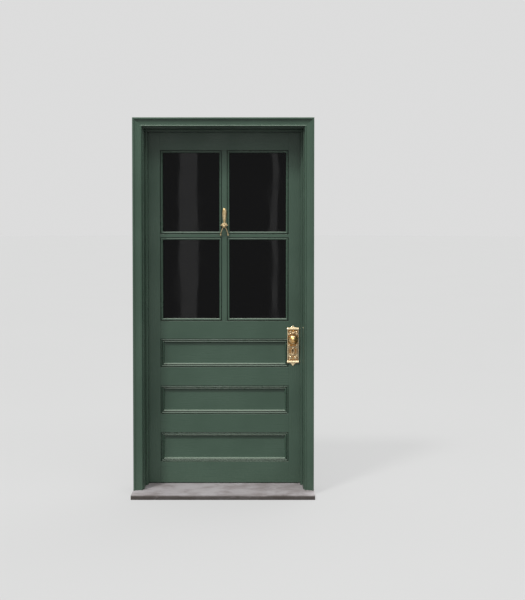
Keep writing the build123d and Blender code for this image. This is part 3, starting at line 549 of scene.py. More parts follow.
def walled(mesh, rings, caps=True):
    """Skins closed rows of points, closes the ends and points every face outwards."""
    rings = [[mesh.verts.new(point) for point in ring] for ring in rings]
    for one, two in zip(rings, rings[1:]):
        for i in range(max(len(one), len(two))):
            a, b = i + 1, i
            corners = (one[b % len(one)], one[a % len(one)], two[a % len(two)], two[b % len(two)])
            mesh.faces.new(list(dict.fromkeys(corners)))
    if caps:
        mesh.faces.new(rings[0])
        mesh.faces.new(rings[-1])
    bmesh.ops.recalc_face_normals(mesh, faces=mesh.faces)


def middle(node):
    """The middle of a CAD node's box."""
    low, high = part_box(node)
    return (low + high) / 2


def merged(node):
    """A bmesh of a CAD node with its loose triangles joined and its flats cleaned."""
    mesh = bmesh.new()
    mesh.from_mesh(frame["nodes"][node].data)
    bmesh.ops.remove_doubles(mesh, verts=mesh.verts, dist=0.004 * MM)
    return mesh


def evaluated_mesh(piece):
    """The mesh of an object with its modifiers worked in."""
    graph = bpy.context.evaluated_depsgraph_get()
    return bpy.data.meshes.new_from_object(
        piece.evaluated_get(graph), preserve_all_data_layers=True, depsgraph=graph
    )


def circle(radius, turns, centre=(0.0, 0.0)):
    """Points round a centre, one for each turn in radians."""
    return [(centre[0] + radius * math.cos(a), centre[1] + radius * math.sin(a)) for a in turns]


def arc(start, through, end, steps):
    """Points on the circle through three points, without the first."""
    (ax, ay), (bx, by), (cx, cy) = start, through, end
    d = 2 * (ax * (by - cy) + bx * (cy - ay) + cx * (ay - by))
    a, b, c = ax * ax + ay * ay, bx * bx + by * by, cx * cx + cy * cy
    ux = (a * (by - cy) + b * (cy - ay) + c * (ay - by)) / d
    uy = (a * (cx - bx) + b * (ax - cx) + c * (bx - ax)) / d
    radius = math.hypot(ax - ux, ay - uy)
    first, mid, last = (math.atan2(y - uy, x - ux) for x, y in (start, through, end))
    sweep = (last - first) % (2 * math.pi)
    if (mid - first) % (2 * math.pi) > sweep:
        sweep -= 2 * math.pi
    return circle(radius, [first + sweep * i / steps for i in range(1, steps + 1)], (ux, uy))


def softened(points, radius):
    """Rounds the sharp corners of a closed section, as paint and sanding do."""
    room, blunt = radius * 2.2, math.radians(155)
    soft = []
    for i, here in enumerate(points):
        at = Vector(here)
        back, ahead = Vector(points[i - 1]) - at, Vector(points[(i + 1) % len(points)]) - at
        if min(back.length, ahead.length) < room or back.angle(ahead) > blunt:
            soft.append(tuple(at))
            continue
        first, last = at + back.normalized() * radius, at + ahead.normalized() * radius
        soft += [tuple(first), tuple(first * 0.25 + at * 0.5 + last * 0.25), tuple(last)]
    return soft


# Sections in millimetres: from the edge inwards, and from the face into the work.
BEAD = [(0, 19.25), (0, 8.4), (3.0, 8.4), (3.4, 6.6)]
BEAD += arc((3.4, 6.6), (4.4, 2.4), (8.0, 1.0), 6) + arc((8.0, 1.0), (11.8, 2.9), (13.2, 7.4), 8)
BEAD += [(13.4, 9.8), (14.0, 10.2), (14.0, 19.25)]

MOULDING = [(0, 15.0), (0, 8.4), (2.9, 8.4), (3.3, 6.6)]
MOULDING += arc((3.3, 6.6), (3.9, 1.8), (6.4, 0.7), 6) + arc((6.4, 0.7), (8.8, 2.8), (9.4, 8.4), 8)
MOULDING += [(9.6, 10.4), (12.4, 10.4)] + arc((12.4, 10.4), (12.8, 4.4), (15.6, 2.2), 6)
MOULDING += arc((15.6, 2.2), (19.0, 6.0), (20.8, 12.8), 8)
MOULDING += [(21.2, 14.2), (26.0, 14.4), (26.0, 15.0)]

# The casing's section: from its inner edge outwards, and from its back to the street.
CASING = [(0, 0), (0, 17.0)] + arc((0, 17.0), (1.6, 21.6), (5.2, 24.2), 5)
CASING += arc((5.2, 24.2), (8.0, 23.6), (9.6, 21.4), 5) + [(11.4, 21.4)]
CASING += arc((11.4, 21.4), (27.0, 23.4), (41.2, 28.2), 8)
CASING += [(41.2, 32.0), (49.3, 32.0), (50.8, 30.5), (50.8, 0)]


def hollows(points, high_side, low_side, reach=3.0, full=2.5):
    """How far each point lies in a groove: nought to one, the depth in full within a reach."""
    found = []
    for x, y in points:
        left = [high_side] if x < reach else []
        right = [low_side] if x > points[-1][0] - reach else []
        left += [v for u, v in points if -reach <= u - x < 0]
        right += [v for u, v in points if 0 < u - x <= reach]
        depth = min(y - min(left, default=y), y - min(right, default=y))
        found.append(max(0.0, min(1.0, depth / full)))
    return found


def store(mesh, mark, values):
    """Stores one vector or number at each point of a mesh."""
    kind, field = ("FLOAT_VECTOR", "vector") if np.ndim(values) == 2 else ("FLOAT", "value")
    layer = mesh.attributes.new(mark, kind, "POINT")
    layer.data.foreach_set(field, np.ravel(values).astype(np.float32))


def numbers(items, key, width, kind=np.float32):
    """One property of many mesh items, as rows of numbers."""
    found = np.empty(len(items) * width, kind)
    items.foreach_get(key, found)
    return found.reshape(-1, width)


def marked_points(name, points, mark, values):
    """An object that carries loose points and one vector or number at each."""
    mesh = bpy.data.meshes.new(name)
    mesh.from_pydata(points, [], [])
    store(mesh, mark, values)
    return new_piece(name, mesh)


class Growth(Web):
    """A Geometry Nodes tree with named inputs."""

    def __init__(self, name, **sockets):
        super().__init__(bpy.data.node_groups.new(name, "GeometryNodeTree"))
        self.tree.is_modifier = True
        face = self.tree.interface
        face.new_socket("Geometry", in_out="INPUT", socket_type="NodeSocketGeometry")
        for key, kind in sockets.items():
            face.new_socket(key, in_out="INPUT", socket_type="NodeSocket" + kind)
        face.new_socket("Geometry", in_out="OUTPUT", socket_type="NodeSocketGeometry")
        self.given = self.tree.nodes.new("NodeGroupInput").outputs
        self.result = self.tree.nodes.new("NodeGroupOutput").inputs

    def points(self, key):
        """The geometry of an object that is given."""
        return self.node("GeometryNodeObjectInfo", {"Object": self.given[key]}, -1)

    def carried(self, name, kind="FLOAT_VECTOR"):
        """A mark that points carry."""
        return self.node("GeometryNodeInputNamedAttribute", {"Name": name}, data_type=kind)

    def end(self, geometry):
        """Makes the result real geometry with its finish."""
        real = self.node("GeometryNodeRealizeInstances", {"Geometry": geometry})
        inputs = {"Geometry": real, "Material": self.given["Finish"]}
        self.feed(self.result["Geometry"], self.node("GeometryNodeSetMaterial", inputs))

    def grow(self, name, **values):
        """Runs the tree and returns the result as a plain object."""
        piece = new_piece(name, bpy.data.meshes.new(name))
        modifier = piece.modifiers.new("Growth", "NODES")
        modifier.node_group = self.tree
        for socket in self.tree.interface.items_tree:
            if socket.in_out == "INPUT" and socket.name in values:
                modifier[socket.identifier] = values[socket.name]
        mesh = evaluated_mesh(piece)
        if not mesh.polygons:
            raise RuntimeError("The tree gave nothing for " + name)
        piece.modifiers.clear()
        piece.data = mesh
        return piece


def mitred_run():
    """Draws a section along stations, moving each of its points by that station's spread."""
    tree = Growth(
        "Mitred Run", Stations="Object", Section="Object", Lift="Vector", Finish="Material"
    )

    def sample(geometry, value, index, kind="FLOAT_VECTOR"):
        """A value at one point of a geometry."""
        inputs = {"Geometry": geometry, "Value": value, "Index": index}
        return tree.node("GeometryNodeSampleIndex", inputs, data_type=kind)

    def scaled(vector, by):
        """A vector made longer."""
        return tree.node("ShaderNodeVectorMath", {0: vector, "Scale": by}, operation="SCALE")

    def added(first, second):
        """The sum of two vectors."""
        return tree.node("ShaderNodeVectorMath", {0: first, 1: second}, operation="ADD")

    def nearest(share, count):
        """The number of a point, from its share of the way, between minus and plus a half."""
        last = tree.maths("SUBTRACT", count, 1.0)
        return tree.maths("ROUND", tree.maths("MULTIPLY", tree.maths("ADD", share, 0.5), last))

    section, stations = tree.points("Section"), tree.points("Stations")
    wide = tree.node("GeometryNodeAttributeDomainSize", {"Geometry": section})
    long = tree.node("GeometryNodeAttributeDomainSize", {"Geometry": stations})
    size = {"Size X": 1.0, "Size Y": 1.0, "Vertices X": wide, "Vertices Y": long}
    place = tree.node("GeometryNodeInputPosition")
    across, along, _ = tree.split(place)
    column, row = nearest(across, wide), nearest(along, long)
    inward, depth, _ = tree.split(sample(section, place, column))
    start = sample(stations, place, row)
    spread = sample(stations, tree.carried("spread"), row)
    target = added(start, added(scaled(spread, inward), scaled(tree.given["Lift"], depth)))
    kept = tree.node(
        "GeometryNodeStoreNamedAttribute",
        {
            "Geometry": tree.node("GeometryNodeMeshGrid", size),
            "Name": "hollow",
            "Value": sample(section, tree.carried("hollow", "FLOAT"), column, "FLOAT"),
        },
        data_type="FLOAT",
        domain="POINT",
    )
    shaped = tree.node("GeometryNodeSetPosition", {"Geometry": kept, "Position": target})
    closed = {"Geometry": shaped, "Distance": WELD}
    tree.end(tree.node("GeometryNodeMergeByDistance", closed))
    return tree


def screw_set():
    """Sets a screw at each spot, facing its way and turned by a seeded chance."""
    tree = Growth("Screw Set", Spots="Object", Screw="Object", Seed="Int", Finish="Material")
    facing = {"Vector": tree.carried("facing")}
    chance = {"Min": 0.0, "Max": math.pi, "Seed": tree.given["Seed"]}
    about = {"Z": tree.node("FunctionNodeRandomValue", chance, data_type="FLOAT")}
    about = {0: tree.node("ShaderNodeCombineXYZ", about)}
    turns = {
        "Rotation": tree.node("FunctionNodeAlignRotationToVector", facing, axis="Z"),
        "Rotate By": tree.node("FunctionNodeEulerToRotation", about),
    }
    set_out = {
        "Points": tree.points("Spots"),
        "Instance": tree.points("Screw"),
        "Rotation": tree.node("FunctionNodeRotateRotation", turns, rotation_space="LOCAL"),
    }
    tree.end(tree.node("GeometryNodeInstanceOnPoints", set_out))
    return tree


def section_object(name, points, high_side, low_side, ease, deeper=1):
    """The points of a closed section, its hollows marked; deeper says which way lies lower."""
    points = softened(points, ease)
    points.append(points[0])
    places = [(x * MM, y * MM, 0.0) for x, y in points]
    levels = [(x, y * deeper) for x, y in points]
    return marked_points(name, places, "hollow", hollows(levels, high_side, low_side))


def run(name, stations, face, into, section, tree, material):
    """Runs a section along stations on a face, each (x, z, spread across, spread up)."""
    places = [(x, face, z) for x, z, _, _ in stations]
    spreads = [(across, 0.0, up) for _, _, across, up in stations]
    spots = marked_points(name + "_stations", places, "spread", spreads)
    lift = (0.0, into, 0.0)
    piece = tree.grow(name, Stations=spots, Section=section, Lift=lift, Finish=material)
    bpy.data.objects.remove(spots)
    mesh = bmesh.new()
    mesh.from_mesh(piece.data)
    bmesh.ops.remove_doubles(mesh, verts=mesh.verts, dist=WELD)
    bmesh.ops.holes_fill(mesh, edges=[e for e in mesh.edges if e.is_boundary], sides=0)
    bmesh.ops.recalc_face_normals(mesh, faces=mesh.faces)
    settle(mesh, piece.data, MOULDED_EDGE)
    return piece


def ring(name, low, high, *rest):
    """A mitred frame of moulding inside an opening."""
    corners = ((low.x, low.z, 1, 1), (high.x, low.z, -1, 1))
    corners += ((high.x, high.z, -1, -1), (low.x, high.z, 1, -1))
    return run(name, corners + corners[:1], *rest)


def joined(name, parts):
    """Joins the meshes of several objects into one."""
    mesh = bmesh.new()
    for part in parts:
        mesh.from_mesh(part.data)
        bpy.data.objects.remove(part)
    return solid_piece(name, mesh, MOULDED_EDGE)


def eased(node, ease, keep=None):
    """A copy of a wooden CAD node with its long arrises rounded."""
    flat, sharp, shortest = math.radians(0.6), math.radians(40), 15 * MM
    mesh = merged(node)
    bmesh.ops.dissolve_limit(mesh, angle_limit=flat, verts=mesh.verts, edges=mesh.edges)
    arrises = [e for e in mesh.edges if e.is_manifold and e.is_convex]
    arrises = [e for e in arrises if e.calc_face_angle() > sharp and e.calc_length() > shortest]
    if keep:
        arrises = [e for e in arrises if keep(*(v.co for v in e.verts))]
    cut = bmesh.ops.bevel(
        mesh, geom=arrises, offset=ease, segments=3, profile=0.5, affect="EDGES", loop_slide=True
    )
    for face in mesh.faces:
        face.smooth = False
    for face in cut["faces"]:
        face.smooth = True
    return solid_piece(node + "_wood", mesh)


def cast_copy(node, grain, carve=None, gain=1.6):
    """A copy of a CAD node softened as a casting, its hollows marked; carve adds fine relief."""
    piece = solid_piece(node + "_cast", merged(node))
    remesh = piece.modifiers.new("Casting", "REMESH")
    remesh.mode = "VOXEL"
    remesh.voxel_size = grain
    remesh.use_smooth_shade = True
    data = evaluated_mesh(piece)
    piece.modifiers.clear()
    piece.data = data
    place = numbers(data.vertices, "co", 3).astype(float)
    if carve:
        carve(place)
    first, last = numbers(data.edges, "vertices", 2, np.int64).T
    count = len(place)
    number = np.bincount(first, minlength=count) + np.bincount(last, minlength=count)

    def around(values):
        """The mean of each point's neighbours."""
        total = [
            np.bincount(first, column[last], count) + np.bincount(last, column[first], count)
            for column in values.T
        ]
        return np.stack(total, 1) / number[:, None]

    # The second share is negative, so that the piece doesn't shrink as it is softened.
    for share in (0.5, -0.468, 0.35, 0.35):
        place += share * (around(place) - place)
    data.vertices.foreach_set("co", place.astype(np.float32).ravel())
    data.update()
    normal = numbers(data.vertex_normals, "vector", 3)
    wide = place
    for _ in range(4):
        wide = around(wide)
    bend = ((wide - place) * normal).sum(1, keepdims=True) / grain
    for _ in range(2):
        bend = 0.5 * bend + 0.5 * around(bend)
    store(data, "hollow", np.clip(bend[:, 0] * gain, -1, 1))
    return piece


def turned(name, profile, centre, ahead, sides):
    """A solid turned about an axis along Y; the profile ends on the axis at both ends."""
    mesh = bmesh.new()
    rings = []
    for radius, reach in profile:
        y = centre[1] + ahead * reach * MM
        turns = [2 * math.pi * i / sides for i in range(sides if radius * MM > WELD else 1)]
        outline = circle(radius * MM, turns, (centre[0], centre[2]))
        rings.append([(x, y, z) for x, z in outline])
    walled(mesh, rings, caps=False)
    return solid_piece(name, mesh, TURNED_EDGE)


def smooth_step(start, end, value):
    """Nought before start and one after end, smooth between."""
    t = max(0.0, min(1.0, (value - start) / (end - start)))
    return t * t * (3 - 2 * t)


UPRIGHT = ("hinge_jamb", "lock_jamb", "hinge_stop", "lock_stop")
UPRIGHT += ("hinge_stile", "lock_stile", "upright_bar")
LEVEL = ("head_jamb", "head_stop", "bottom_rail", "lower_cross_rail", "upper_cross_rail")
LEVEL += ("lock_rail", "top_rail", "left_cross_bar", "right_cross_bar")
PANELS = ("lower_panel", "middle_panel", "upper_panel")
PANES = ("upper_left_pane", "upper_right_pane", "lower_left_pane", "lower_right_pane")
BEADS = ("upper_left_beads", "upper_right_beads", "lower_left_beads", "lower_right_beads")
MOULDINGS = ("lower_moulding", "middle_moulding", "upper_moulding")


def make_woodwork():
    """Stiles, rails, bars, jambs and stops with eased arrises, and the flat panels."""
    ease = bpy.context.scene.front_door_paint.arris
    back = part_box("hinge_stile")[1].y

    def shows(a, b):
        """True for an edge on a face of the leaf that isn't a shoulder."""
        at_face = all(v.y < 0.1 * MM or v.y > back - 0.1 * MM for v in (a, b))
        butted = abs(a.z - b.z) > abs(a.x - b.x)
        return at_face and not butted

    for node in UPRIGHT:
        dress(eased(node, ease), finish(paint_upright), "painted_wood", node)
    for node in LEVEL:
        in_leaf = frame["nodes"][node]["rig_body"] == "leaf"
        piece = eased(node, ease, shows if in_leaf else None)
        dress(piece, finish(paint_level), "painted_wood", node)
    coat(finish(paint_level), *PANELS)


def make_casings():
    """The two legs and the head of the casing, mitred at the corners."""
    tree = mitred_run()
    section = section_object("casing_section", CASING, 99.0, 99.0, 0.5, -1)
    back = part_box("hinge_jamb")[0].y
    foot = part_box("hinge_casing")[0].z
    left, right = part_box("hinge_casing")[1].x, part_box("lock_casing")[0].x
    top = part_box("head_casing")[0].z
    for node, paint, stations in (
        ("hinge_casing", paint_upright, ((left, foot, -1, 0), (left, top, -1, 1))),
        ("head_casing", paint_level, ((left, top, -1, 1), (right, top, 1, 1))),
        ("lock_casing", paint_upright, ((right, top, 1, 1), (right, foot, 1, 0))),
    ):
        material = finish(paint)
        piece = run(node + "_run", stations, back, -1.0, section, tree, material)
        dress(piece, material, "painted_wood", node)
    bpy.data.objects.remove(section)


def make_mouldings():
    """Panel mouldings and glazing beads on both faces of the leaf."""
    tree = mitred_run()
    material = finish(paint_moulded)
    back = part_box("hinge_stile")[1].y
    for nodes, inside, points, low_side in (
        (MOULDINGS, "inside_mouldings", MOULDING, 15.0),
        (BEADS, "inside_beads", BEAD, 19.25),
    ):
        section = section_object(inside + "_section", points, 0.0, low_side, 0.35)
        rear = []
        for node in nodes:
            low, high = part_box(node)
            piece = ring(node + "_run", low, high, 0.0, 1.0, section, tree, material)
            dress(piece, material, "painted_wood", node)
            rear.append(ring(node + "_rear", low, high, back, -1.0, section, tree, material))
        dress(joined(inside + "_run", rear), material, "painted_wood", inside)
        bpy.data.objects.remove(section)


def make_glass():
    """The four panes."""
    coat(finish(dark_glass), *PANES)


def make_sill():
    """The stone sill, its street edge rounded and chipped and its middle worn by feet."""
    stone = bpy.context.scene.front_door_stone
    low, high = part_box("stone_sill")
    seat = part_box("hinge_casing")[0].y
    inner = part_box("hinge_jamb")[1].x
    lengths, steps, nose_steps = 190, 48, 6
    mesh = bmesh.new()
    rows = []

    def wear(x, y):
        """Depth of wear in the top, none of it under the frame."""
        under = smooth_step(abs(inner) - 30 * MM, abs(inner), abs(x))
        under *= smooth_step(seat - 14 * MM, seat - 2 * MM, y)
        # Feet hollow it most 200 mm in front of the leaf.
        across, along = x / (300 * MM), (y + 200 * MM) / (90 * MM)
        trod = math.exp(-(across**2)) * math.exp(-(along**2))
        rough = 0.5 + 0.5 * noise.noise((x * 14, y * 20, 2.0))
        return (1 - under) * (stone.wear * trod + 0.5 * MM * rough)

    for i in range(lengths + 1):
        x = low.x + (high.x - low.x) * i / lengths
        # The street edge waves a little, and has a chip here and there.
        chip = 0.125 + 0.125 * noise.noise((x * 7.0, 0.0, 0.0))
        chip += max(0.0, noise.noise((x * 26.0, 3.0, 0.0)) - 0.12)
        front = low.y + min(1.0, chip) * stone.chips
        nose = stone.nose * (1 + 0.3 * noise.noise((x * 12.0, 9.0, 0.0)))
        start = front + nose
        top = high.z - wear(x, start)
        section = [(front + 0.4 * MM, low.z), (front, low.z + 1.2 * MM)]
        section += [(front, low.z + (top - nose - low.z) * share) for share in (0.4, 0.7, 1.0)]
        for k in range(1, nose_steps + 1):
            turn = math.pi / 2 * k / nose_steps
            section.append((start - nose * math.cos(turn), top - nose * (1 - math.sin(turn))))
        for k in range(1, steps + 1):
            y = start + (high.y - start) * k / steps
            section.append((y, high.z - wear(x, y)))
        section += [(high.y, low.z), (low.y * 0.5, low.z)]
        rows.append([(x, y, z) for y, z in section])
    walled(mesh, rows)
    piece = solid_piece("stone_sill_worn", mesh, STONE_EDGE)
    dress(piece, finish(worn_stone), "stone", "stone_sill")


def make_ironmongery():
    """Hinges, pins, spindle, lock case, bolts and strike plate."""
    coat(finish(cast_brass), "strike_plate")
    coat(finish(dull_brass), "knocker_pin")
    coat(finish(satin_steel), "frame_hinge_plates", "leaf_hinge_plates", "hinge_pins")
    coat(finish(satin_steel), "lock_case", "latch_bolt", "dead_bolt", "latch_hub", "knob_spindle")
    make_levers()


def make_levers():
    """The lever pack inside the lock, which is what shows through the keyhole."""
    low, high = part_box("lock_case")
    x, z = middle("outside_knob").x, middle("outside_knob").z - LEVER_DROP * MM
    room, pitch, thick = 10 * MM, 1.6 * MM, 1.3 * MM
    if not low.x < x - room < x + room < high.x:
        raise RuntimeError("The levers don't fit in the lock case")
    mesh = bmesh.new()
    for k in range(4):
        y = middle("hinge_stile").y + (k - 1.5) * pitch
        wide, tall = (19.0 - 1.4 * k) * MM, (22.0 - 0.8 * k) * MM
        for vert in bmesh.ops.create_cube(mesh, size=1.0)["verts"]:
            vert.co = (x + vert.co.x * wide, y + vert.co.y * thick, z + vert.co.z * tall)
    bmesh.ops.bevel(mesh, geom=mesh.edges[:], offset=0.2 * MM, segments=1, affect="EDGES")
    piece = solid_piece("lock_levers", mesh)
    piece.data.materials.append(finish(oily_steel))
    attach(piece, "leaf")


# The knob's outline in millimetres: from the axis outwards, and from the leaf's face into it.
KNOB = [(0, -3.3), (13.0, -3.3), (13.4, -3.8), (13.4, -5.3), (13.0, -5.9), (12.0, -6.3)]
KNOB += arc((12.0, -6.3), (9.6, -8.9), (9.0, -13.5), 7)
KNOB += [(9.9, -14.0), (10.3, -14.9), (9.9, -15.8), (9.1, -16.3)]
KNOB += arc((9.1, -16.3), (10.9, -21.6), (16.0, -27.0), 8)
KNOB += arc((16.0, -27.0), (24.3, -32.0), (26.5, -39.0), 12)
KNOB += arc((26.5, -39.0), (23.4, -47.4), (17.0, -52.2), 10)
KNOB += [(16.6, -51.7), (16.0, -51.3), (15.3, -51.5)]
KNOB += arc((15.3, -51.5), (12.4, -54.4), (8.6, -55.9), 5)
KNOB += [(8.2, -55.6), (7.6, -55.7)] + arc((7.6, -55.7), (4.2, -57.4), (0, -58.0), 6)


def make_knobs():
    """The two turned knobs."""
    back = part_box("hinge_stile")[1].y
    for node, face, ahead in (("outside_knob", 0.0, 1), ("inside_knob", back, -1)):
        at = middle(node)
        piece = turned(node + "_turned", KNOB, (at.x, face, at.z), ahead, sides=80)
        dress(piece, finish(cast_brass), "brass", node)


def curl(base, start, sweep, first, last, steps):
    """Points that turn about a base in degrees, while their distance from it changes."""
    found = []
    for k in range(steps + 1):
        reach, turn = first + (last - first) * k / steps, start + sweep * k / steps
        found += circle(reach, [math.radians(turn)], base)
    return found


def plate_work():
    """Scrolls and leaves of a key plate as rows of (across, up, half width), from the knob."""
    bow = [math.pi * k / 60 for k in range(61)]
    hoop = [math.pi * k / 40 for k in range(-20, 21)]
    # A bow along the edge, a hoop round the keyhole, and a scroll at either end of them.
    strokes = [
        ([(25.0 - 3.2 * math.sin(a), -86.0 + 38.0 * a / math.pi) for a in bow], 1.3, 1.3),
        ([(9.6 * math.cos(a), -67.0 + 13.6 * math.sin(a)) for a in hoop], 1.1, 1.1),
        (curl((17.5, -86.0), 0, -470, 7.5, 1.6, 94), 1.5, 1.2),
        (curl((17.5, -48.0), 0, 470, 7.5, 1.6, 94), 1.5, 1.2),
    ]
    # Fans of leaves on the middle line.
    for height, first, way in ((-51.0, 90, -1), (-83.0, -90, 1), (35.4, -90, 1)):
        for turn, bend, reach, start, end in (
            (0, 0, 14.0, 1.2, 2.0),
            (28, 18, 11.5, 1.1, 1.8),
            (58, 24, 7.0, 1.0, 1.6),
        ):
            blade = curl((0.0, height), first + way * turn, way * bend, 0.0, reach, 24)
            strokes.append((blade, start, end))
    # Sprays of three leaves in the corners.
    sprays = ((25.0, -37.0, 96, 1), (25.2, 29.5, 252, -1), (25.0, -97.5, 96, 1))
    for across, up, first, way in sprays:
        for turn, reach in ((0, 9.0), (32, 8.0), (64, 7.0)):
            blade = curl((across, up), first + way * turn, way * 14, 0.0, reach, 24)
            strokes.append((blade, 1.1, 1.7))
    rows = []
    for side in (-1, 1):
        for points, start, end in strokes:
            last = len(points) - 1
            rows += [
                (side * x, y, start + (end - start) * k / last) for k, (x, y) in enumerate(points)
            ]
    return np.array(rows)


def make_escutcheons():
    """The two cast key plates, their raised work brighter than the field."""
    grain = bpy.context.scene.front_door_brass.casting
    knob = middle("outside_knob")
    work = plate_work()
    for node, side in (("outside_escutcheon", 1), ("inside_escutcheon", 0)):
        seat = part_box(node)[side].y

        def carve(place, near=0.25 * MM):
            """Raises the scrolls and leaves from the field."""
            out = place[:, 1] - seat
            field = np.nonzero(np.abs(np.abs(out) - PLATE_FIELD * MM) < near)[0]
            across = (place[field, 0] - knob.x) / MM
            up = (place[field, 2] - knob.z) / MM
            rise = np.zeros(len(field))
            for x, z, wide in work:
                away = ((across - x) ** 2 + (up - z) ** 2) / wide**2
                rise = np.maximum(rise, np.sqrt(np.clip(1 - away, 0, 1)))
            place[field, 1] += np.sign(out[field]) * PLATE_RELIEF * MM * rise

        piece = cast_copy(node, grain, carve)
        heights = [abs(v.co.y - seat) / MM - PLATE_FIELD for v in piece.data.vertices]
        store(piece.data, "sunk", [1 - 2 * smooth_step(0.15, 0.8, h) for h in heights])
        dress(piece, finish(cast_brass), "brass", node)


def make_knocker():
    """The knocker's plate and striker."""
    for node, grain in (("knocker_plate", 0.5 * MM), ("knocker_striker", 0.45 * MM)):
        dress(cast_copy(node, grain), finish(dull_brass), "brass", node)


def screw_piece():
    """One slotted countersunk screw, its head at the origin and facing up Z."""
    sizes = bpy.context.scene.front_door_screws
    mesh = bmesh.new()
    floor, chamfer, point, tip = -sizes.slot_depth, 0.25 * MM, 3 * MM, 0.3 * MM
    floor_radius = sizes.head + (sizes.head - sizes.shank) * floor / sizes.sink

    def disc(radius, z):
        """An outline of the round part."""
        return [(x, y, z) for x, y in circle(radius, [math.pi * k / 8 for k in range(16)])]

    def half(radius, z, side):
        """An outline of the half disc beside the slot."""
        edge = math.acos(sizes.slot_width / 2 / radius)
        outline = circle(radius, [edge * (k / 6 - 1) for k in range(13)])
        return [(side * x, y, z) for x, y in outline]

    cone = ((floor_radius, floor), (sizes.shank, -sizes.sink))
    shank = ((sizes.shank, point - sizes.reach), (tip, -sizes.reach))
    walled(mesh, [disc(radius, z) for radius, z in cone + shank])
    head = ((floor_radius, floor), (sizes.head, -chamfer), (sizes.head - chamfer, 0.0))
    for side in (-1, 1):
        walled(mesh, [half(radius, z, side) for radius, z in head])
    return solid_piece("screw", mesh)


def islands(mesh):
    """The low and high corners of each loose part of a bmesh, always in the same order."""
    seen = set()
    for start in mesh.verts:
        if start in seen:
            continue
        island, edge = set(), {start}
        while edge:
            vert = edge.pop()
            island.add(vert)
            edge |= {e.other_vert(vert) for e in vert.link_edges} - island
        seen |= island
        axes = list(zip(*(vert.co for vert in island)))
        yield [min(axis) for axis in axes], [max(axis) for axis in axes]


def make_screws():
    """Every screw, one mesh for each CAD node."""
    tree = screw_set()
    screw = screw_piece()
    seed = bpy.context.scene.front_door_screws.seed
    leaf_middle = middle("hinge_stile").y
    for node, axis, way, lift, metal, slot in (
        ("strike_screws", 0, -1, 0.0, cast_brass, "brass"),
        ("frame_hinge_screws", 0, 1, 0.0, satin_steel, "steel"),
        ("leaf_hinge_screws", 0, -1, 0.0, satin_steel, "steel"),
        ("lock_screws", 0, 1, 0.0, cast_brass, "brass"),
        ("escutcheon_screws", 1, 0, 0.5 * MM, cast_brass, "brass"),
    ):
        mesh = merged(node)
        spots, facing = [], []
        for lows, highs in islands(mesh):
            at = [(a + b) / 2 for a, b in zip(lows, highs)]
            side = way or (-1 if at[1] < leaf_middle else 1)
            at[axis] = (highs if side > 0 else lows)[axis] + side * lift
            spots.append(tuple(at))
            facing.append([float(side if k == axis else 0) for k in range(3)])
        mesh.free()
        points = marked_points(node + "_spots", spots, "facing", facing)
        material = finish(metal)
        piece = tree.grow(node + "_set", Spots=points, Screw=screw, Seed=seed, Finish=material)
        bpy.data.objects.remove(points)
        dress(piece, material, slot, node)
    bpy.data.objects.remove(screw)


def placed(name, data, place, turn):
    """Puts a lamp or a camera in the scene, turned, or aimed if turn is a point."""
    holder = bpy.data.objects.new(name, data)
    holder.location = place
    if isinstance(turn, Vector):
        turn = (turn - holder.location).to_track_quat("-Z", "Y").to_euler()
    holder.rotation_euler = turn
    bpy.context.scene.collection.objects.link(holder)
    return holder


def make_stage():
    """The floor and backdrop, the lamps, the world and the camera."""
    scene = bpy.context.scene
    stage = scene.front_door_stage
    mesh = bmesh.new()
    bmesh.ops.create_circle(mesh, cap_ends=True, segments=64, radius=60.0)
    bmesh.ops.translate(mesh, verts=mesh.verts, vec=(0.0, 0.0, -0.5 * MM))
    floor = solid_piece("studio_floor", mesh)
    floor.data.materials.append(finish(plain_floor))
    floor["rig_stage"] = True

    scene.world = bpy.data.worlds.new("studio")
    scene.world.use_nodes = True
    web = Web(scene.world.node_tree)
    web.tree.nodes.clear()
    _, _, height = web.split(web.node("ShaderNodeTexCoord"))
    rise = {"Value": height, "To Min": stage.level, "To Max": stage.level + stage.overhead}
    light = {"Color": (0.97, 0.985, 1.0, 1.0), "Strength": web.node("ShaderNodeMapRange", rise)}
    pale = {"Color": (1.0, 1.0, 1.0, 1.0), "Strength": stage.backdrop}
    sky = {
        0: web.shown(),
        1: web.node("ShaderNodeBackground", light),
        2: web.node("ShaderNodeBackground", pale),
    }
    web.node("ShaderNodeOutputWorld", {"Surface": web.node("ShaderNodeMixShader", sky)}, None)

    target = Vector((0.0, 0.0, 1.0))
    for name, place, energy, spread in (
        ("key_light", (-2.6, -3.4, 6.9), stage.key, 9),
        ("fill_light", (2.6, 4.2, 4.4), stage.fill, 50),
    ):
        lamp = bpy.data.lights.new(name, "SUN")
        lamp.energy, lamp.angle = energy, math.radians(spread)
        placed(name, lamp, place, target)
    for name, place, wide, tall, power, aim in (
        ("softbox", (0.0, -2.3, 4.7), 5.0, 1.0, stage.softbox, target),
        ("left_strip", (-0.58, -5.2, 1.5), 0.2, 3.2, 3.6, Vector((-0.58, 0.0, 1.5))),
        ("right_strip", (0.34, -5.2, 1.5), 0.06, 3.2, 1.1, Vector((0.34, 0.0, 1.5))),
    ):
        lamp = bpy.data.lights.new(name, "AREA")
        lamp.shape, lamp.size, lamp.size_y, lamp.energy = "RECTANGLE", wide, tall, power
        placed(name, lamp, place, aim)

    camera = bpy.data.cameras.new("camera")
    camera.lens, camera.sensor_width, camera.shift_y = stage.lens, 36.0, -0.0974
    camera.clip_start, camera.clip_end = 0.05, 150.0
    pitch = math.radians(88.3)
    scene.camera = placed("camera", camera, (0.2121, -5.6575, 1.5447), (pitch, 0.0, 0.0))
    scene.view_settings.view_transform = "Standard"


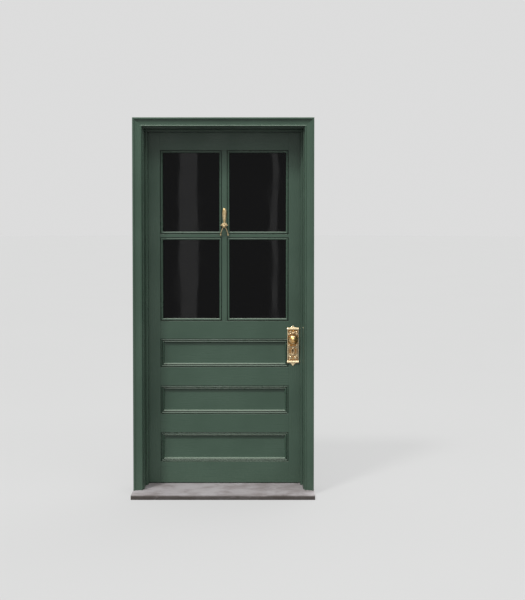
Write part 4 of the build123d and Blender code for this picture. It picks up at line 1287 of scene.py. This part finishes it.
class FRONT_DOOR_OT_stage(bpy.types.Operator):
    """Makes the floor, backdrop, lamps and camera."""

    bl_idname = "front_door.stage"
    bl_label = "Stage"

    def execute(self, context):
        make_stage()
        return {"FINISHED"}


class FRONT_DOOR_OT_woodwork(bpy.types.Operator):
    """Eases and paints the stiles, rails, bars, jambs and stops."""

    bl_idname = "front_door.woodwork"
    bl_label = "Woodwork"

    def execute(self, context):
        make_woodwork()
        return {"FINISHED"}


class FRONT_DOOR_OT_casings(bpy.types.Operator):
    """Runs the moulded casing round the frame."""

    bl_idname = "front_door.casings"
    bl_label = "Casings"

    def execute(self, context):
        make_casings()
        return {"FINISHED"}


class FRONT_DOOR_OT_mouldings(bpy.types.Operator):
    """Runs the panel mouldings and glazing beads."""

    bl_idname = "front_door.mouldings"
    bl_label = "Mouldings"

    def execute(self, context):
        make_mouldings()
        return {"FINISHED"}


class FRONT_DOOR_OT_glass(bpy.types.Operator):
    """Glazes the four lights."""

    bl_idname = "front_door.glass"
    bl_label = "Glass"

    def execute(self, context):
        make_glass()
        return {"FINISHED"}


class FRONT_DOOR_OT_sill(bpy.types.Operator):
    """Makes the worn stone sill."""

    bl_idname = "front_door.sill"
    bl_label = "Sill"

    def execute(self, context):
        make_sill()
        return {"FINISHED"}


class FRONT_DOOR_OT_ironmongery(bpy.types.Operator):
    """Finishes the hinges, lock and bolts."""

    bl_idname = "front_door.ironmongery"
    bl_label = "Ironmongery"

    def execute(self, context):
        make_ironmongery()
        return {"FINISHED"}


class FRONT_DOOR_OT_knobs(bpy.types.Operator):
    """Turns the two knobs."""

    bl_idname = "front_door.knobs"
    bl_label = "Knobs"

    def execute(self, context):
        make_knobs()
        return {"FINISHED"}


class FRONT_DOOR_OT_escutcheons(bpy.types.Operator):
    """Casts the two key plates."""

    bl_idname = "front_door.escutcheons"
    bl_label = "Key plates"

    def execute(self, context):
        make_escutcheons()
        return {"FINISHED"}


class FRONT_DOOR_OT_knocker(bpy.types.Operator):
    """Casts the knocker's plate and striker."""

    bl_idname = "front_door.knocker"
    bl_label = "Knocker"

    def execute(self, context):
        make_knocker()
        return {"FINISHED"}


class FRONT_DOOR_OT_screws(bpy.types.Operator):
    """Sets every screw."""

    bl_idname = "front_door.screws"
    bl_label = "Screws"

    def execute(self, context):
        make_screws()
        return {"FINISHED"}


OPERATORS = (
    FRONT_DOOR_OT_stage,
    FRONT_DOOR_OT_woodwork,
    FRONT_DOOR_OT_casings,
    FRONT_DOOR_OT_mouldings,
    FRONT_DOOR_OT_glass,
    FRONT_DOOR_OT_sill,
    FRONT_DOOR_OT_ironmongery,
    FRONT_DOOR_OT_knobs,
    FRONT_DOOR_OT_escutcheons,
    FRONT_DOOR_OT_knocker,
    FRONT_DOOR_OT_screws,
)

SETTINGS = {
    "front_door_paint": PaintSettings,
    "front_door_brass": BrassSettings,
    "front_door_stone": StoneSettings,
    "front_door_glass": GlassSettings,
    "front_door_screws": ScrewSettings,
    "front_door_stage": StageSettings,
}


class FRONT_DOOR_PT_pieces(bpy.types.Panel):
    """Lists the settings and the operators of the front door."""

    bl_label = "Front Door"
    bl_idname = "FRONT_DOOR_PT_pieces"
    bl_space_type = "VIEW_3D"
    bl_region_type = "UI"
    bl_category = "Front Door"

    def draw(self, context):
        for key, group in SETTINGS.items():
            box = self.layout.box()
            box.label(text=key.replace("front_door_", "").capitalize())
            for name in group.__annotations__:
                box.prop(getattr(context.scene, key), name)
        for each in OPERATORS:
            self.layout.operator(each.bl_idname)


CLASSES = (*SETTINGS.values(), *OPERATORS, FRONT_DOOR_PT_pieces)


def register():
    """Registers the classes and puts the settings on the scene."""
    for each in CLASSES:
        bpy.utils.register_class(each)
    for key, group in SETTINGS.items():
        setattr(bpy.types.Scene, key, bpy.props.PointerProperty(type=group))


def unregister():
    """Takes the settings and the classes away again."""
    for key in SETTINGS:
        delattr(bpy.types.Scene, key)
    for each in reversed(CLASSES):
        bpy.utils.unregister_class(each)


def main():
    """Makes the door and the stage."""
    register()
    for each in OPERATORS:
        getattr(bpy.ops.front_door, each.bl_idname.split(".")[1])()
    boxes = {"cad_box": CAD_BOX, "visual_box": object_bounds()}
    {key: [list(corner) for corner in box] for key, box in boxes.items()}


if __name__ == "__main__":
    main()
